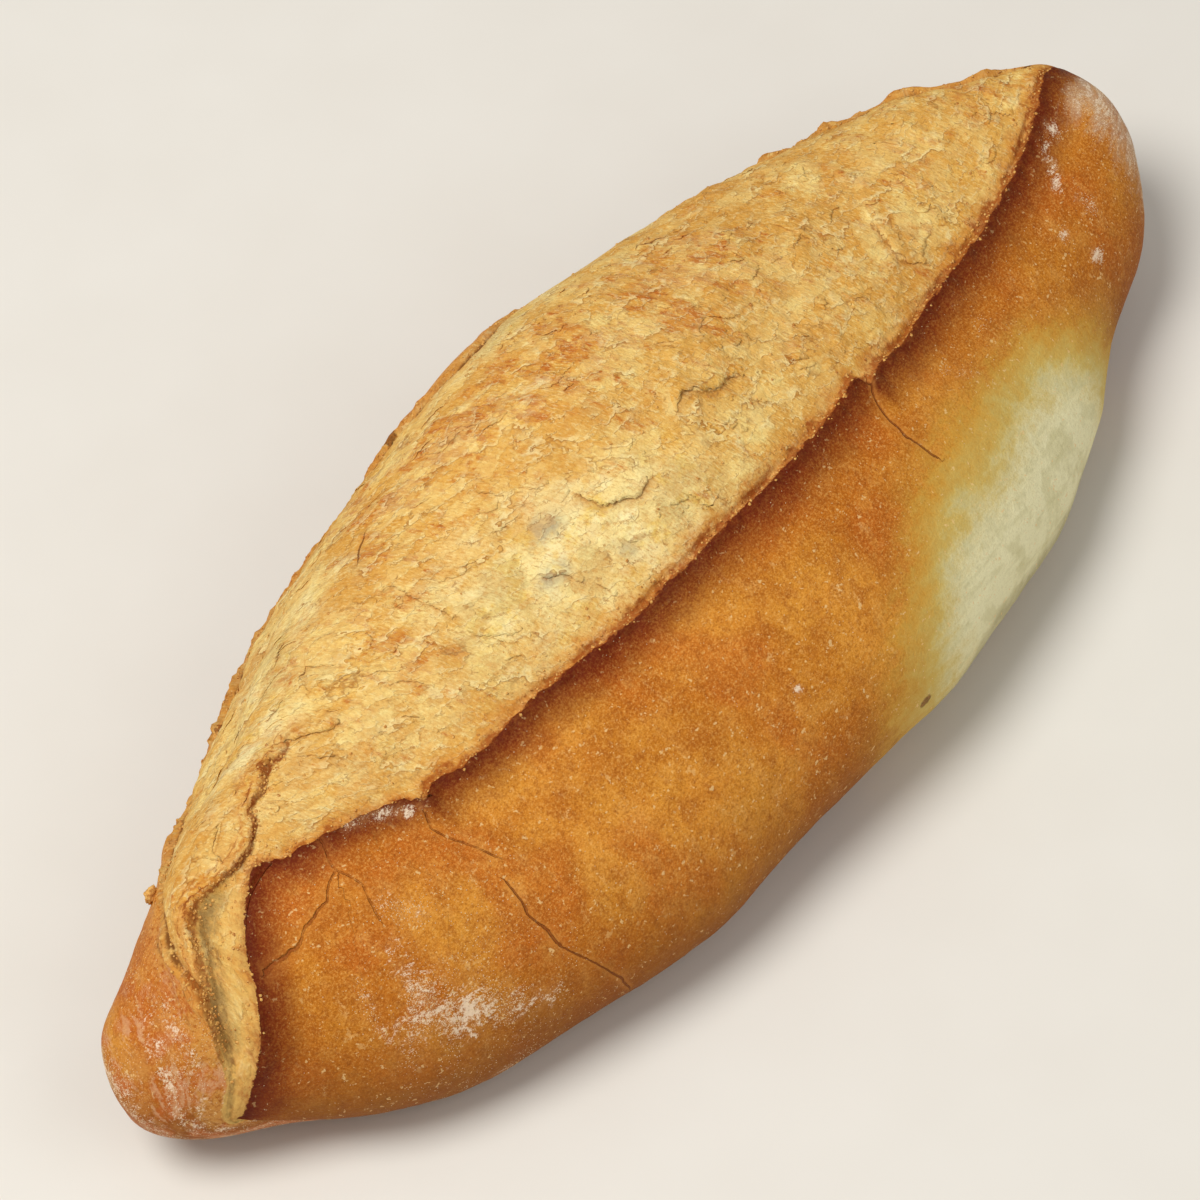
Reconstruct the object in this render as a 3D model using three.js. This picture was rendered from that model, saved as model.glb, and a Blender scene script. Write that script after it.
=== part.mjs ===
import * as THREE from "three";
import { mergeVertices } from "three/addons/utils/BufferGeometryUtils.js";

// A stone-baked loaf, whole and uncut, lying on its flat bottom. Millimetres, Z up, length along X.
// It was slit from tip to tip before baking and burst open in the oven. Round the loaf, from the
// near side (-Y) over the top to the far side (+Y), come a smooth near crust, the torn bloom that
// swelled out of the slit, and a smooth far crust. The crust edge on the near side is the ear.
//
// "at" says where a slice lies along the loaf: -1 at the near tip, 0 in the middle, 1 at the far tip.
// An angle says where a point lies round the slice: 0 near side, 90 top, 180 far side.

const SLIT_LENGTH = 296;
const CENTRE_SHIFT = 1.7;

// One entry for each slice: how far the crust reaches to the near and far side, how high it stands
// before the bloom, how much the bloom swells between the angles ear and edge, and how far over the
// surface from the ear the rim of the far crust lies.
const SLICES = [
  { at: -1.0, near: 47, far: 41, top: 58, swell: 0, ear: 70, edge: 91, rim: 5 },
  { at: -0.85, near: 45, far: 45, top: 62, swell: 4, ear: 96, edge: 130, rim: 22 },
  { at: -0.6, near: 52, far: 50, top: 58, swell: 7, ear: 81, edge: 134, rim: 68 },
  { at: -0.3, near: 58, far: 60, top: 62, swell: 8, ear: 69, edge: 146, rim: 92 },
  { at: 0.0, near: 64, far: 59, top: 67, swell: 13, ear: 64, edge: 149, rim: 73 },
  { at: 0.3, near: 64, far: 55, top: 61, swell: 10, ear: 65, edge: 147, rim: 70 },
  { at: 0.6, near: 54, far: 51, top: 53, swell: 7, ear: 67, edge: 140, rim: 70 },
  { at: 0.85, near: 47, far: 46, top: 53, swell: 3.5, ear: 70, edge: 126, rim: 40 },
  { at: 1.0, near: 54, far: 42, top: 58, swell: 1.5, ear: 87, edge: 100, rim: 2 },
];

// The line through the tips: its height at both ends, its sideways bow and how much slices slant.
const TIP_HEIGHT = [19.5, 36];
const MIDLINE_SIDE = [-4, 2.5, 3];
const SLICE_SLANT = [0.44, 0.05, 0.19];

// A slice is a rounded box: rounder above its belly, squarer below it, leaning to the far side.
const BELLY_SHARE = 0.4;
const UPPER_SQUARENESS = 2.1;
const LOWER_SQUARENESS = 2.8;
const TOP_LEAN = 9;
const BOTTOM_SAG = 2.3;

// Both ends swell past the tips of the slit.
const END_SWELLS = [
  { end: -1, push: 20.5, side: 19, height: 21, reach: 19.5 },
  { end: 1, push: 14.5, side: -4.5, height: 32, reach: 27 },
];
const END_SWELL_REACH_UP = 26;

// Soft bulges and hollows left by the hands and the oven floor.
const BULGES = [
  { x: 111, y: -41, z: 11, reach: 14, push: -1.8 },
  { x: 139, y: -30, z: 20, reach: 12, push: 1.5 },
  { x: 67, y: -56, z: 13, reach: 12, push: 1.3 },
  { x: 17, y: -61, z: 17, reach: 12, push: 1.3 },
  { x: -55, y: -52, z: 10, reach: 17, push: 1.6 },
  { x: -116, y: -31, z: 8, reach: 20, push: 2 },
  { x: -155, y: 0, z: 10, reach: 14, push: 2.2 },
  { x: -158, y: 25, z: 28, reach: 10, push: 3.2 },
  { x: -130, y: 37, z: 38, reach: 12, push: -1.8 },
  { x: -35, y: 54, z: 59, reach: 20, push: -1.6 },
  { x: -110, y: 44, z: 45, reach: 16, push: -1.4 },
  { x: 124, y: 31, z: 42, reach: 16, push: 1.8 },
  { x: 154, y: 8, z: 42, reach: 10, push: 1.8 },
  { x: 79, y: 43, z: 52, reach: 18, push: 0.8 },
];

// Relief: the raised ear with the notch under it, the wavy rim of the far crust, and the torn ledge
// of the bloom that turns down the near end beside a furrow.
const EAR_HEIGHT = 1.6;
const EAR_REACH = 4.5;
const NOTCH_DEPTH = 1.5;
const NOTCH_PLACE = 2.2;
const RIM_HEIGHT = 1.4;
const RIM_REACH = 4;
const RIM_NOTCH = 1;
const SLIVER_WIDTH = 8;
const LEDGE = [
  { at: -1.0, fromEar: 7 },
  { at: -0.92, fromEar: 10.3 },
  { at: -0.84, fromEar: 10 },
  { at: -0.76, fromEar: 5.4 },
  { at: -0.72, fromEar: 11.5 },
  { at: -0.67, fromEar: 19.5 },
  { at: -0.6, fromEar: 26 },
];
const LEDGE_HEIGHT = 1.8;
const LEDGE_REACH = 9;
const FURROW_DEPTH = 2.6;
const FURROW_PLACE = 2.2;

// The mesh: rings along the loaf, and columns over the near crust, bloom, far crust and bottom.
const RINGS = 78;
const COLUMNS = [22, 27, 17, 6];
const EAR_CROWDING = 1.35;
const BLOOM_CROWDING = 1.25;
const BOTTOM_FROM = 230;
const BOTTOM_TO = 310;

const around = COLUMNS.reduce((sum, count) => sum + count, 0);
const earColumn = COLUMNS[0];

function bell(distance, reach) {
  return Math.exp(-((distance / reach) ** 2));
}

function ramp(value, from, to) {
  return THREE.MathUtils.smoothstep(value, from, to);
}

// A smooth curve through values at uneven stops.
function between(at, stops, values) {
  const gap = stops.slice(1).map((stop, i) => stop - stops[i]);
  const climb = gap.map((step, i) => (values[i + 1] - values[i]) / step);
  const slope = stops.map((stop, i) => {
    if (i === 0) return climb[0];
    if (i === stops.length - 1) return climb[i - 1];
    return (climb[i - 1] * gap[i] + climb[i] * gap[i - 1]) / (gap[i] + gap[i - 1]);
  });
  let k = 0;
  while (k < stops.length - 2 && at > stops[k + 1]) k += 1;
  const s = (at - stops[k]) / gap[k];
  const start = (2 * s ** 3 - 3 * s ** 2 + 1) * values[k];
  const leave = (s ** 3 - 2 * s ** 2 + s) * gap[k] * slope[k];
  const finish = (-2 * s ** 3 + 3 * s ** 2) * values[k + 1];
  const arrive = (s ** 3 - s ** 2) * gap[k] * slope[k + 1];
  return start + leave + finish + arrive;
}

function slice(name, at) {
  const stops = SLICES.map((entry) => entry.at);
  const values = SLICES.map((entry) => entry[name]);
  return between(at, stops, values);
}

// How full a slice is: 1 along most of the loaf, 0 at the tips.
function fullness(at) {
  return Math.sqrt(Math.max(0, 1 - Math.abs(at) ** 5));
}

function crustPoint(at, angle) {
  const full = fullness(at);
  const middle = between(at, [-1, 0, 1], MIDLINE_SIDE);
  const tip = THREE.MathUtils.mapLinear(at, -1, 1, TIP_HEIGHT[0], TIP_HEIGHT[1]);
  const top = tip + (slice("top", at) - tip) * full;
  const low = tip - (tip + BOTTOM_SAG) * Math.sqrt(Math.max(0, 1 - at ** 8));
  const belly = low + BELLY_SHARE * (top - low);
  const sideways = Math.cos(angle);
  const upward = Math.sin(angle);
  const power = 2 / (upward >= 0 ? UPPER_SQUARENESS : LOWER_SQUARENESS);
  const out = Math.abs(sideways) ** power;
  const up = Math.abs(upward) ** power;
  const reach = sideways >= 0 ? -slice("near", at) : slice("far", at);
  const lean = upward >= 0 ? TOP_LEAN * full * up : 0;
  const y = middle + reach * full * out + lean;
  const z = upward >= 0 ? belly + (top - belly) * up : belly - (belly - low) * up;
  let x = (SLIT_LENGTH / 2) * at - between(at, [-1, 0, 1], SLICE_SLANT) * (y - middle);
  for (const swell of END_SWELLS) {
    const nearness = THREE.MathUtils.clamp((at * swell.end - 0.55) / 0.45, 0, 1) ** 2;
    const over = bell(y - swell.side, swell.reach) * bell(z - swell.height, END_SWELL_REACH_UP);
    x += swell.end * swell.push * nearness * over;
  }
  return new THREE.Vector3(x, y, z);
}

// The angle of each column: crowded towards the ear, where the relief is sharpest.
function columnAngle(at, column) {
  const [near, bloom, far, bottom] = COLUMNS;
  const ear = slice("ear", at);
  const edge = slice("edge", at);
  const start = BOTTOM_TO - 360;
  if (column < near) return start + (ear - start) * (1 - (1 - column / near) ** EAR_CROWDING);
  if (column < near + bloom) {
    return ear + (edge - ear) * ((column - near) / bloom) ** BLOOM_CROWDING;
  }
  if (column < near + bloom + far) {
    return edge + (BOTTOM_FROM - edge) * ((column - near - bloom) / far);
  }
  return BOTTOM_FROM + (BOTTOM_TO - BOTTOM_FROM) * ((column - near - bloom - far) / bottom);
}

// The outward direction at a point of the ring grid, from its neighbours.
function outward(rings, ring, column) {
  if (ring === 0) return new THREE.Vector3(-1, 0, 0);
  if (ring === RINGS) return new THREE.Vector3(1, 0, 0);
  const along = rings[ring + 1][column].clone().sub(rings[ring - 1][column]);
  const next = rings[ring][(column + 1) % around];
  const last = rings[ring][(column + around - 1) % around];
  return along.cross(next.clone().sub(last)).normalize();
}

// Moves every point out by its own amount and keeps the bottom flat on the floor.
function pushed(rings, amount) {
  return rings.map((points, ring) =>
    points.map((point, column) => {
      const moved = point.clone().addScaledVector(outward(rings, ring, column), amount(ring, column));
      moved.z = Math.max(0, moved.z);
      return moved;
    }),
  );
}

// Distance over the surface from the ear, positive into the bloom and negative over the crust.
function distancesFromEar(points) {
  const walked = [0];
  for (let column = 1; column < around; column += 1) {
    walked.push(walked[column - 1] + points[column].distanceTo(points[column - 1]));
  }
  return walked.map((distance) => distance - walked[earColumn]);
}

function earRelief(fromEar, broad) {
  if (fromEar <= 0) return EAR_HEIGHT * bell(fromEar, EAR_REACH);
  const notch = broad ? NOTCH_DEPTH * bell(fromEar - NOTCH_PLACE, 1.8) : 0;
  return EAR_HEIGHT * bell(fromEar, 0.8) - notch;
}

function rimRelief(x, fromRim, broad) {
  if (!broad) return 0;
  const wavy = 0.6 + 0.4 * Math.sin(x / 7 + 1.2 * Math.sin(x / 19));
  if (fromRim >= 0) return RIM_HEIGHT * wavy * bell(fromRim, RIM_REACH);
  return RIM_HEIGHT * wavy * bell(fromRim, 1) - RIM_NOTCH * bell(fromRim + NOTCH_PLACE, 1.8);
}

function ledgeRelief(at, fromEar) {
  const stops = LEDGE.map((entry) => entry.at);
  const values = LEDGE.map((entry) => entry.fromEar);
  const past = fromEar - between(Math.min(at, stops.at(-1)), stops, values);
  const shown = ramp(-at, 0.58, 0.66);
  const beyond = bell(Math.max(past - 1.5, 0), LEDGE_REACH);
  const raised = LEDGE_HEIGHT * ramp(past, 0, 1.5) * beyond;
  const furrowShown = ramp(-at, 0.77, 0.82) * (1 - ramp(-at, 0.965, 0.992));
  return shown * raised - furrowShown * FURROW_DEPTH * bell(past + FURROW_PLACE, 1.9);
}

function tornRelief(x, fromEar, fromRim) {
  const room = Math.min(1, fromEar / 6) * Math.min(1, -fromRim / 6);
  const folds = Math.sin(x / 9.5 + 1.6 * Math.sin(fromEar / 15 + 0.4));
  const across = Math.sin(fromEar / 8 + 1.2 * Math.sin(x / 21));
  const layers = Math.sin(fromEar / 5.1 + 1.4 * Math.sin(x / 12 + 0.5) + x / 31);
  return room * (0.45 * folds * across + 0.35 * layers);
}

function crustRelief(x, fromEar, fromRim) {
  const away = THREE.MathUtils.clamp(-fromEar / 14, 0, 1) + THREE.MathUtils.clamp(fromRim / 14, 0, 1);
  const lumps = 0.35 * Math.sin(x / 14 + 1) * Math.sin(fromEar / 11 + 0.4);
  return away * (lumps + 0.3 * Math.sin(x / 23 - fromEar / 19));
}

function relief(at, x, fromEar) {
  const rim = slice("rim", at);
  const fromRim = fromEar - rim;
  const broad = rim > SLIVER_WIDTH;
  let height = earRelief(fromEar, broad) + rimRelief(x, fromRim, broad);
  if (fromEar > 0 && fromRim < 0) {
    height += ledgeRelief(at, fromEar) + tornRelief(x, fromEar, fromRim);
  }
  height += crustRelief(x, fromEar, fromRim);
  return height * ramp(1 - Math.abs(at), 0.002, 0.03);
}

function bulge(point) {
  return BULGES.reduce((sum, b) => {
    const distance = point.distanceTo(new THREE.Vector3(b.x, b.y, b.z));
    return sum + b.push * bell(distance, b.reach);
  }, 0);
}

const ringAt = Array.from({ length: RINGS + 1 }, (_, ring) => -Math.cos((Math.PI * ring) / RINGS));

const shaped = ringAt.map((at) =>
  Array.from({ length: around }, (_, column) =>
    crustPoint(at, THREE.MathUtils.degToRad(columnAngle(at, column))),
  ),
);

const swollen = pushed(shaped, (ring, column) => {
  const at = ringAt[ring];
  const ear = slice("ear", at);
  const across = (columnAngle(at, column) - ear) / (slice("edge", at) - ear);
  const share = THREE.MathUtils.clamp(across, 0, 1);
  return slice("swell", at) * fullness(at) * Math.sin(Math.PI * share);
});

const fromEarOf = swollen.map(distancesFromEar);

const finished = pushed(swollen, (ring, column) => {
  const point = swollen[ring][column];
  return relief(ringAt[ring], point.x, fromEarOf[ring][column]) + bulge(point);
});

// The loaf starts as a ball with its poles at the tips, and every point moves to its place.
const skin = new THREE.SphereGeometry(1, around, RINGS);
const position = skin.attributes.position;
for (let ring = 0; ring <= RINGS; ring += 1) {
  for (let column = 0; column <= around; column += 1) {
    const point = finished[ring][column % around];
    position.setXYZ(ring * (around + 1) + column, point.x, point.y, point.z);
  }
}
skin.deleteAttribute("uv");
skin.deleteAttribute("normal");
const loafShape = mergeVertices(skin, 1e-3);
loafShape.translate(CENTRE_SHIFT, 0, 0);
loafShape.computeVertexNormals();

const crust = new THREE.MeshStandardMaterial({ color: "#cf9450", roughness: 0.8, metalness: 0 });
const loaf = new THREE.Mesh(loafShape, crust);
loaf.name = "loaf";

const part = new THREE.Group();
part.name = "stone_baked_bread";
part.add(loaf);

export default part;
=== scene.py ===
# %% [markdown]
# # A stone-baked loaf
# The object is one whole loaf, about 33 cm long, slit once from tip to tip and baked on a stone floor.
# The slit burst open in the oven. What shows is a smooth browned crust on the near side, a dark raised
# lip along the slit (bakers call it the ear), the pale torn bloom that swelled out of the slit, and a
# second smooth crust behind it. The packed solid gives the true size and place, so it is loaded first.

# %% Load the packed model
import math

import bmesh
import bpy
import numpy as np
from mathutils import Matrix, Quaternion, Vector, noise
from mathutils.kdtree import KDTree


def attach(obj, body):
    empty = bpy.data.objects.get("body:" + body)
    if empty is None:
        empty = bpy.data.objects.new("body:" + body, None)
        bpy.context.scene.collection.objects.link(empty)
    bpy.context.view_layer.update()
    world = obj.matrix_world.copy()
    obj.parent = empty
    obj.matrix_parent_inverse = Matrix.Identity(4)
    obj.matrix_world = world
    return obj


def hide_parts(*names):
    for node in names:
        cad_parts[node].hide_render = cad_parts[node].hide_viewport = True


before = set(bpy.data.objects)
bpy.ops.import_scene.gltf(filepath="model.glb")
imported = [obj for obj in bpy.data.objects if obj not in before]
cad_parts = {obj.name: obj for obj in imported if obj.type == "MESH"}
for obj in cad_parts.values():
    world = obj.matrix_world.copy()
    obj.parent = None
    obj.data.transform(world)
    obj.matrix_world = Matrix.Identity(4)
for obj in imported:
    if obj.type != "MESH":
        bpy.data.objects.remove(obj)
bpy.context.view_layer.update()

MM = 0.001

# %% [markdown]
# ## Camera
# The loaf is seen from its near end, looking down and partly along it through a long lens. The camera
# aims at a point a little beside the loaf's middle, because the loaf sits off the middle of the
# picture. Aiming beside it keeps the lens unshifted, which suits every other view too.

# %% Camera
LOOK_DOWN = math.radians(52.84)
LOOK_ALONG = math.radians(50.32)
CAMERA_ROLL = math.radians(-4.53)
CAMERA_DISTANCE = 1.116
CAMERA_LENS = 157.6
AIM_POINT = Vector((-12.4, 7.15, 30.0)) * MM
SENSOR_WIDTH = 36.0


def in_scene(name, data):
    """Puts a mesh, a light or a camera into the scene as an object."""
    made = bpy.data.objects.new(name, data)
    bpy.context.collection.objects.link(made)
    return made


def aim(thing, direction, roll=0.0):
    """Turns a camera or a light to look along a direction."""
    thing.rotation_mode = "QUATERNION"
    thing.rotation_quaternion = direction.to_track_quat("-Z", "Y") @ Quaternion((0, 0, 1), roll)


def add_camera():
    back = Vector((
        -math.sin(LOOK_ALONG) * math.cos(LOOK_DOWN),
        -math.cos(LOOK_ALONG) * math.cos(LOOK_DOWN),
        math.sin(LOOK_DOWN),
    ))
    data = bpy.data.cameras.new("camera")
    data.sensor_width, data.lens = SENSOR_WIDTH, CAMERA_LENS
    camera = in_scene("camera", data)
    camera.location = AIM_POINT + back * CAMERA_DISTANCE
    aim(camera, -back, CAMERA_ROLL)
    bpy.context.scene.camera = camera
    return camera


camera = add_camera()
print("camera at, m:", [round(v, 3) for v in camera.location])

# %% [markdown]
# ## The loaf's form
# The loaf could be sculpted, but its form follows a rule: a rounded slice that changes size from tip to
# tip. So it is worked out from nine slices. "at" runs from -1 at the near tip to 1 at the far tip, and
# an angle runs round each slice, 0 at the near side, 90 on top, 180 at the far side. All numbers are
# millimetres or degrees, and they are the ones the packed solid was made from.

# %% Driving sizes
SLIT_LENGTH = 296.0
CENTRE_SHIFT = 1.7
SLICE_AT = [-1.0, -0.85, -0.6, -0.3, 0.0, 0.3, 0.6, 0.85, 1.0]
NEAR_REACH = [47, 45, 52, 58, 64, 64, 54, 47, 54]
FAR_REACH = [41, 45, 50, 60, 59, 55, 51, 46, 42]
TOP_HEIGHT = [58, 62, 58, 62, 67, 61, 53, 53, 58]
BLOOM_SWELL = [0, 4, 7, 8, 13, 10, 7, 3.5, 1.5]
EAR_ANGLE = [70, 96, 81, 69, 64, 65, 67, 70, 87]
EDGE_ANGLE = [91, 130, 134, 146, 149, 147, 140, 126, 100]
RIM_FROM_EAR = [5, 22, 68, 92, 73, 70, 70, 40, 2]
TIP_HEIGHT = [19.5, 36.0]
MIDLINE_SIDE = [-4.0, 2.5, 3.0]
SLICE_SLANT = [0.44, 0.05, 0.19]
BELLY_SHARE = 0.4
UPPER_SQUARENESS = 2.1
LOWER_SQUARENESS = 2.8
TOP_LEAN = 9.0
BOTTOM_SAG = 2.3
END_SWELLS = [  # which end, push, side, height, reach sideways
    (-1, 20.5, 19.0, 21.0, 19.5), (1, 14.5, -4.5, 32.0, 27.0),
]
END_SWELL_REACH_UP = 26.0
END_SWELL_FROM, END_SWELL_RUN = 0.55, 0.45
TIP_FULLNESS, BASE_FULLNESS = 5, 8
BULGES = [  # x, y, z, reach, push
    (111, -41, 11, 14, -1.8), (139, -30, 20, 12, 1.5), (67, -56, 13, 12, 1.3), (17, -61, 17, 12, 1.3),
    (-55, -52, 10, 17, 1.6), (-116, -31, 8, 20, 2.0), (-155, 0, 10, 14, 2.2), (-158, 25, 28, 10, 3.2),
    (-130, 37, 38, 12, -1.8), (-35, 54, 59, 20, -1.6), (-110, 44, 45, 16, -1.4), (124, 31, 42, 16, 1.8),
    (154, 8, 42, 10, 1.8), (79, 43, 52, 18, 0.8),
]
print("bloom at its widest:", max(RIM_FROM_EAR), "mm from the ear")

# %% [markdown]
# ## Small helpers for the form
# `between` draws a smooth curve through values at uneven stops, `bell` is a soft bump and `ramp` a soft
# step. Blender has such curves too, but here they act on whole grids of numbers at once.

# %% Curves, bumps and steps
def between(at, stops, values):
    """A smooth curve through the values at their stops."""
    stops, values = np.asarray(stops, float), np.asarray(values, float)
    gap = np.diff(stops)
    climb = np.diff(values) / gap
    inner = (climb[:-1] * gap[1:] + climb[1:] * gap[:-1]) / (gap[1:] + gap[:-1])
    slope = np.concatenate([climb[:1], inner, climb[-1:]])
    k = np.clip(np.searchsorted(stops, at) - 1, 0, len(gap) - 1)
    s = (at - stops[k]) / gap[k]
    leave = (s**3 - 2 * s**2 + s) * gap[k] * slope[k]
    arrive = (s**3 - s**2) * gap[k] * slope[k + 1]
    return (2 * s**3 - 3 * s**2 + 1) * values[k] + leave + (-2 * s**3 + 3 * s**2) * values[k + 1] + arrive


def bell(distance, reach):
    return np.exp(-((distance / reach) ** 2))


def ramp(value, start, end):
    s = np.clip((value - start) / (end - start), 0, 1)
    return s * s * (3 - 2 * s)


print("half way up a ramp:", float(ramp(0.5, 0, 1)), "one reach from a bell:", round(float(bell(1, 1)), 3))

# %% [markdown]
# Bread is uneven everywhere, so `patches` gives a seeded cloud of soft random patches, and `rough` adds
# ever smaller ones to it. The same seed gives the same loaf in every run.

# %% Patches
PATCH_CELLS, PATCH_SHIFT = 97, 500.0


def patches(along, across, size, seed):
    """Soft random patches from -1 to 1. The shift keeps all cell numbers above zero."""
    table = np.random.default_rng(seed).uniform(-1, 1, (PATCH_CELLS, PATCH_CELLS))
    a, b = along / size + PATCH_SHIFT, across / size + PATCH_SHIFT
    i, j = np.floor(a).astype(int), np.floor(b).astype(int)
    s, t = ramp(a - i, 0, 1), ramp(b - j, 0, 1)
    i, j, next_i, next_j = i % PATCH_CELLS, j % PATCH_CELLS, (i + 1) % PATCH_CELLS, (j + 1) % PATCH_CELLS
    low = table[i, j] * (1 - s) + table[next_i, j] * s
    high = table[i, next_j] * (1 - s) + table[next_i, next_j] * s
    return low * (1 - t) + high * t


def rough(along, across, size, seed, octaves=3):
    """Patches with ever smaller ones added."""
    return sum(patches(along, across, size / 2**n, seed + n) / 2**n for n in range(octaves))


print("patches at three places:", patches(np.array([0.0, 5.0, 10.0]), np.zeros(3), 5, 1).round(2))

# %% [markdown]
# ## The smooth loaf
# A grid of rings runs from tip to tip. Its columns are packed closer over the ear and the bloom, where
# the detail is, and wider on the hidden bottom. Rings bunch up at the tips so that both ends stay round.

# %% Rings and columns
RINGS = 330
RING_CROWDING = 9
COLUMNS = [100, 124, 44, 14]
EAR_CROWDING = 1.3
BLOOM_CROWDING = 1.06
BOTTOM_FROM, BOTTOM_TO = 230.0, 310.0


def column_angles(at):
    """Each column's angle in each ring, and its share of the way over the bloom."""
    near, bloom, far, bottom = [np.arange(count) / count for count in COLUMNS]
    ear, edge = between(at, SLICE_AT, EAR_ANGLE), between(at, SLICE_AT, EDGE_ANGLE)
    start = BOTTOM_TO - 360
    parts = [
        start + (ear - start) * (1 - (1 - near) ** EAR_CROWDING),
        ear + (edge - ear) * bloom**BLOOM_CROWDING,
        edge + (BOTTOM_FROM - edge) * far,
        BOTTOM_FROM + (BOTTOM_TO - BOTTOM_FROM) * bottom + 0 * ear,
    ]
    angles = np.concatenate(parts, 1)
    return angles, np.clip((angles - ear) / (edge - ear), 0, 1)


def outward(points):
    """The direction that faces away from the loaf at each point."""
    across = np.roll(points, -1, 1) - np.roll(points, 1, 1)
    normal = np.cross(np.gradient(points, axis=0), across)
    normal /= np.maximum(np.linalg.norm(normal, axis=-1, keepdims=True), 1e-9)
    normal[0], normal[-1] = (-1, 0, 0), (1, 0, 0)
    return normal


def pushed(points, amount):
    """The points moved outward, but never below the floor."""
    moved = points + outward(points) * amount[..., None]
    moved[..., 2] = np.maximum(moved[..., 2], 0)
    return moved


print("mesh points round each ring:", sum(COLUMNS), "rings:", RINGS)

# %% [markdown]
# A slice is a squashed circle with a flatter underside. Its size, its lean and its slant change from tip
# to tip, the two ends swell a little to one side, and the bloom rises between the ear and the far edge.
# The distance from the ear is then walked over this smooth form, because relief and colours follow it.

# %% The smooth form
def smooth_loaf(at):
    angles, share = column_angles(at)
    full = np.sqrt(np.clip(1 - np.abs(at) ** TIP_FULLNESS, 0, 1))
    middle = between(at, [-1, 0, 1], MIDLINE_SIDE)
    tip = between(at, [-1, 1], TIP_HEIGHT)
    top = tip + (between(at, SLICE_AT, TOP_HEIGHT) - tip) * full
    low = tip - (tip + BOTTOM_SAG) * np.sqrt(np.clip(1 - at**BASE_FULLNESS, 0, 1))
    belly = low + BELLY_SHARE * (top - low)
    sideways, upward = np.cos(np.radians(angles)), np.sin(np.radians(angles))
    power = np.where(upward >= 0, 2 / UPPER_SQUARENESS, 2 / LOWER_SQUARENESS)
    out, up = np.abs(sideways) ** power, np.abs(upward) ** power
    reach = np.where(sideways >= 0, -between(at, SLICE_AT, NEAR_REACH), between(at, SLICE_AT, FAR_REACH))
    y = middle + reach * full * out + np.where(upward >= 0, TOP_LEAN * full * up, 0)
    z = np.where(upward >= 0, belly + (top - belly) * up, belly - (belly - low) * up)
    x = SLIT_LENGTH / 2 * at - between(at, [-1, 0, 1], SLICE_SLANT) * (y - middle)
    for end, push, side, height, reach_side in END_SWELLS:
        nearness = np.clip((at * end - END_SWELL_FROM) / END_SWELL_RUN, 0, 1) ** 2
        x = x + end * push * nearness * bell(y - side, reach_side) * bell(z - height, END_SWELL_REACH_UP)
    swell = between(at, SLICE_AT, BLOOM_SWELL) * full * np.sin(np.pi * share)
    return pushed(np.stack([x, y, z], -1), swell)


def distance_from_ear(points):
    """How far each point lies from the ear, walked over the surface."""
    steps = np.linalg.norm(np.diff(points, axis=1), axis=-1)
    walked = np.concatenate([np.zeros((len(points), 1)), np.cumsum(steps, 1)], 1)
    return walked - walked[:, COLUMNS[0]:COLUMNS[0] + 1]


s = np.linspace(-1, 1, RINGS + 1)[:, None]
at = (RING_CROWDING * s - s**RING_CROWDING) / (RING_CROWDING - 1)
smooth = smooth_loaf(at)
from_ear = distance_from_ear(smooth)
along = smooth[..., 0]
rim_place = between(at, SLICE_AT, RIM_FROM_EAR)
from_rim = from_ear - rim_place
print("smooth loaf, mm:", np.ptp(smooth.reshape(-1, 3), axis=0).round(1))

# %% [markdown]
# ## Where the ear, the far rim and the ledge run
# Where the slit opened, the near crust lifted into a thin raised lip with small breaks in it. The far
# crust ends in a lower, ragged rim. At the near end a ledge of old crust lies beside a deep furrow. Each
# could be a cut in the mesh, but a distance is easier to work with: how far every point lies from that
# line, after soft patches have made the line wander.

# %% Ragged lines
SLIVER_WIDTH = 8.0
LEDGE_AT = [-1.0, -0.92, -0.84, -0.76, -0.72, -0.67, -0.60]
LEDGE_FROM_EAR = [7.0, 10.3, 10.0, 5.4, 11.5, 19.5, 26.0]
EAR_LINE_AT = [
    -160, -134, -126, -122.6, -120, -117, -113, -107, -101, -92, -91, -89.5, -88, -86, -78, -69, -59, -39, -2, 25,
    42, 46.8, 48, 48.7, 51, 54, 63, 79, 93, 106, 126, 143, 150,
]
EAR_LINE = [
    0, 0.1, 1.5, 3.0, 1.8, -1.6, -2.2, -2.7, -2.3, -2.9, -4.5, -6.5, -4.6, -3.2, -4.0, -3.0, -1.1, -1.5, -0.7, -1.1,
    -0.2, 0.6, -0.7, -3.0, -2.5, -2.0, -2.9, -2.3, -3.2, -2.5, -1.5, -1.1, 0,
]
RIM_SHIFT_AT = [-100, -90, -75, -55, -40, -30, -20, 5, 22, 50, 60, 75, 90]
RIM_SHIFT = [0, -5, -6, -5, -1, 0, 1, 6, 11, 10, 6, 1, 0]

ear_line = np.interp(along, EAR_LINE_AT, EAR_LINE)
ragged_ear = from_ear - ear_line + 0.3 * rough(along, from_ear, 5, 11, 2) + 0.3 * rough(along, from_ear, 1.8, 12, 2)
rim_place = rim_place + np.interp(along, RIM_SHIFT_AT, RIM_SHIFT)
ragged_rim = from_ear - rim_place + 0.9 * rough(along, 0 * along, 8, 13) + 0.7 * rough(along, from_ear, 2.6, 16, 2)
ledge_line = between(np.clip(at, -1, -0.6), LEDGE_AT, LEDGE_FROM_EAR)
from_ledge = from_ear - ledge_line + 0.9 * rough(along, from_ear, 3.2, 15, 3)
open_slit = rim_place > SLIVER_WIDTH
torn = (ragged_ear > 0) & (ragged_rim < 0)
print("share of the mesh points in the torn bloom:", round(float(torn.mean()), 3))

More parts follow.
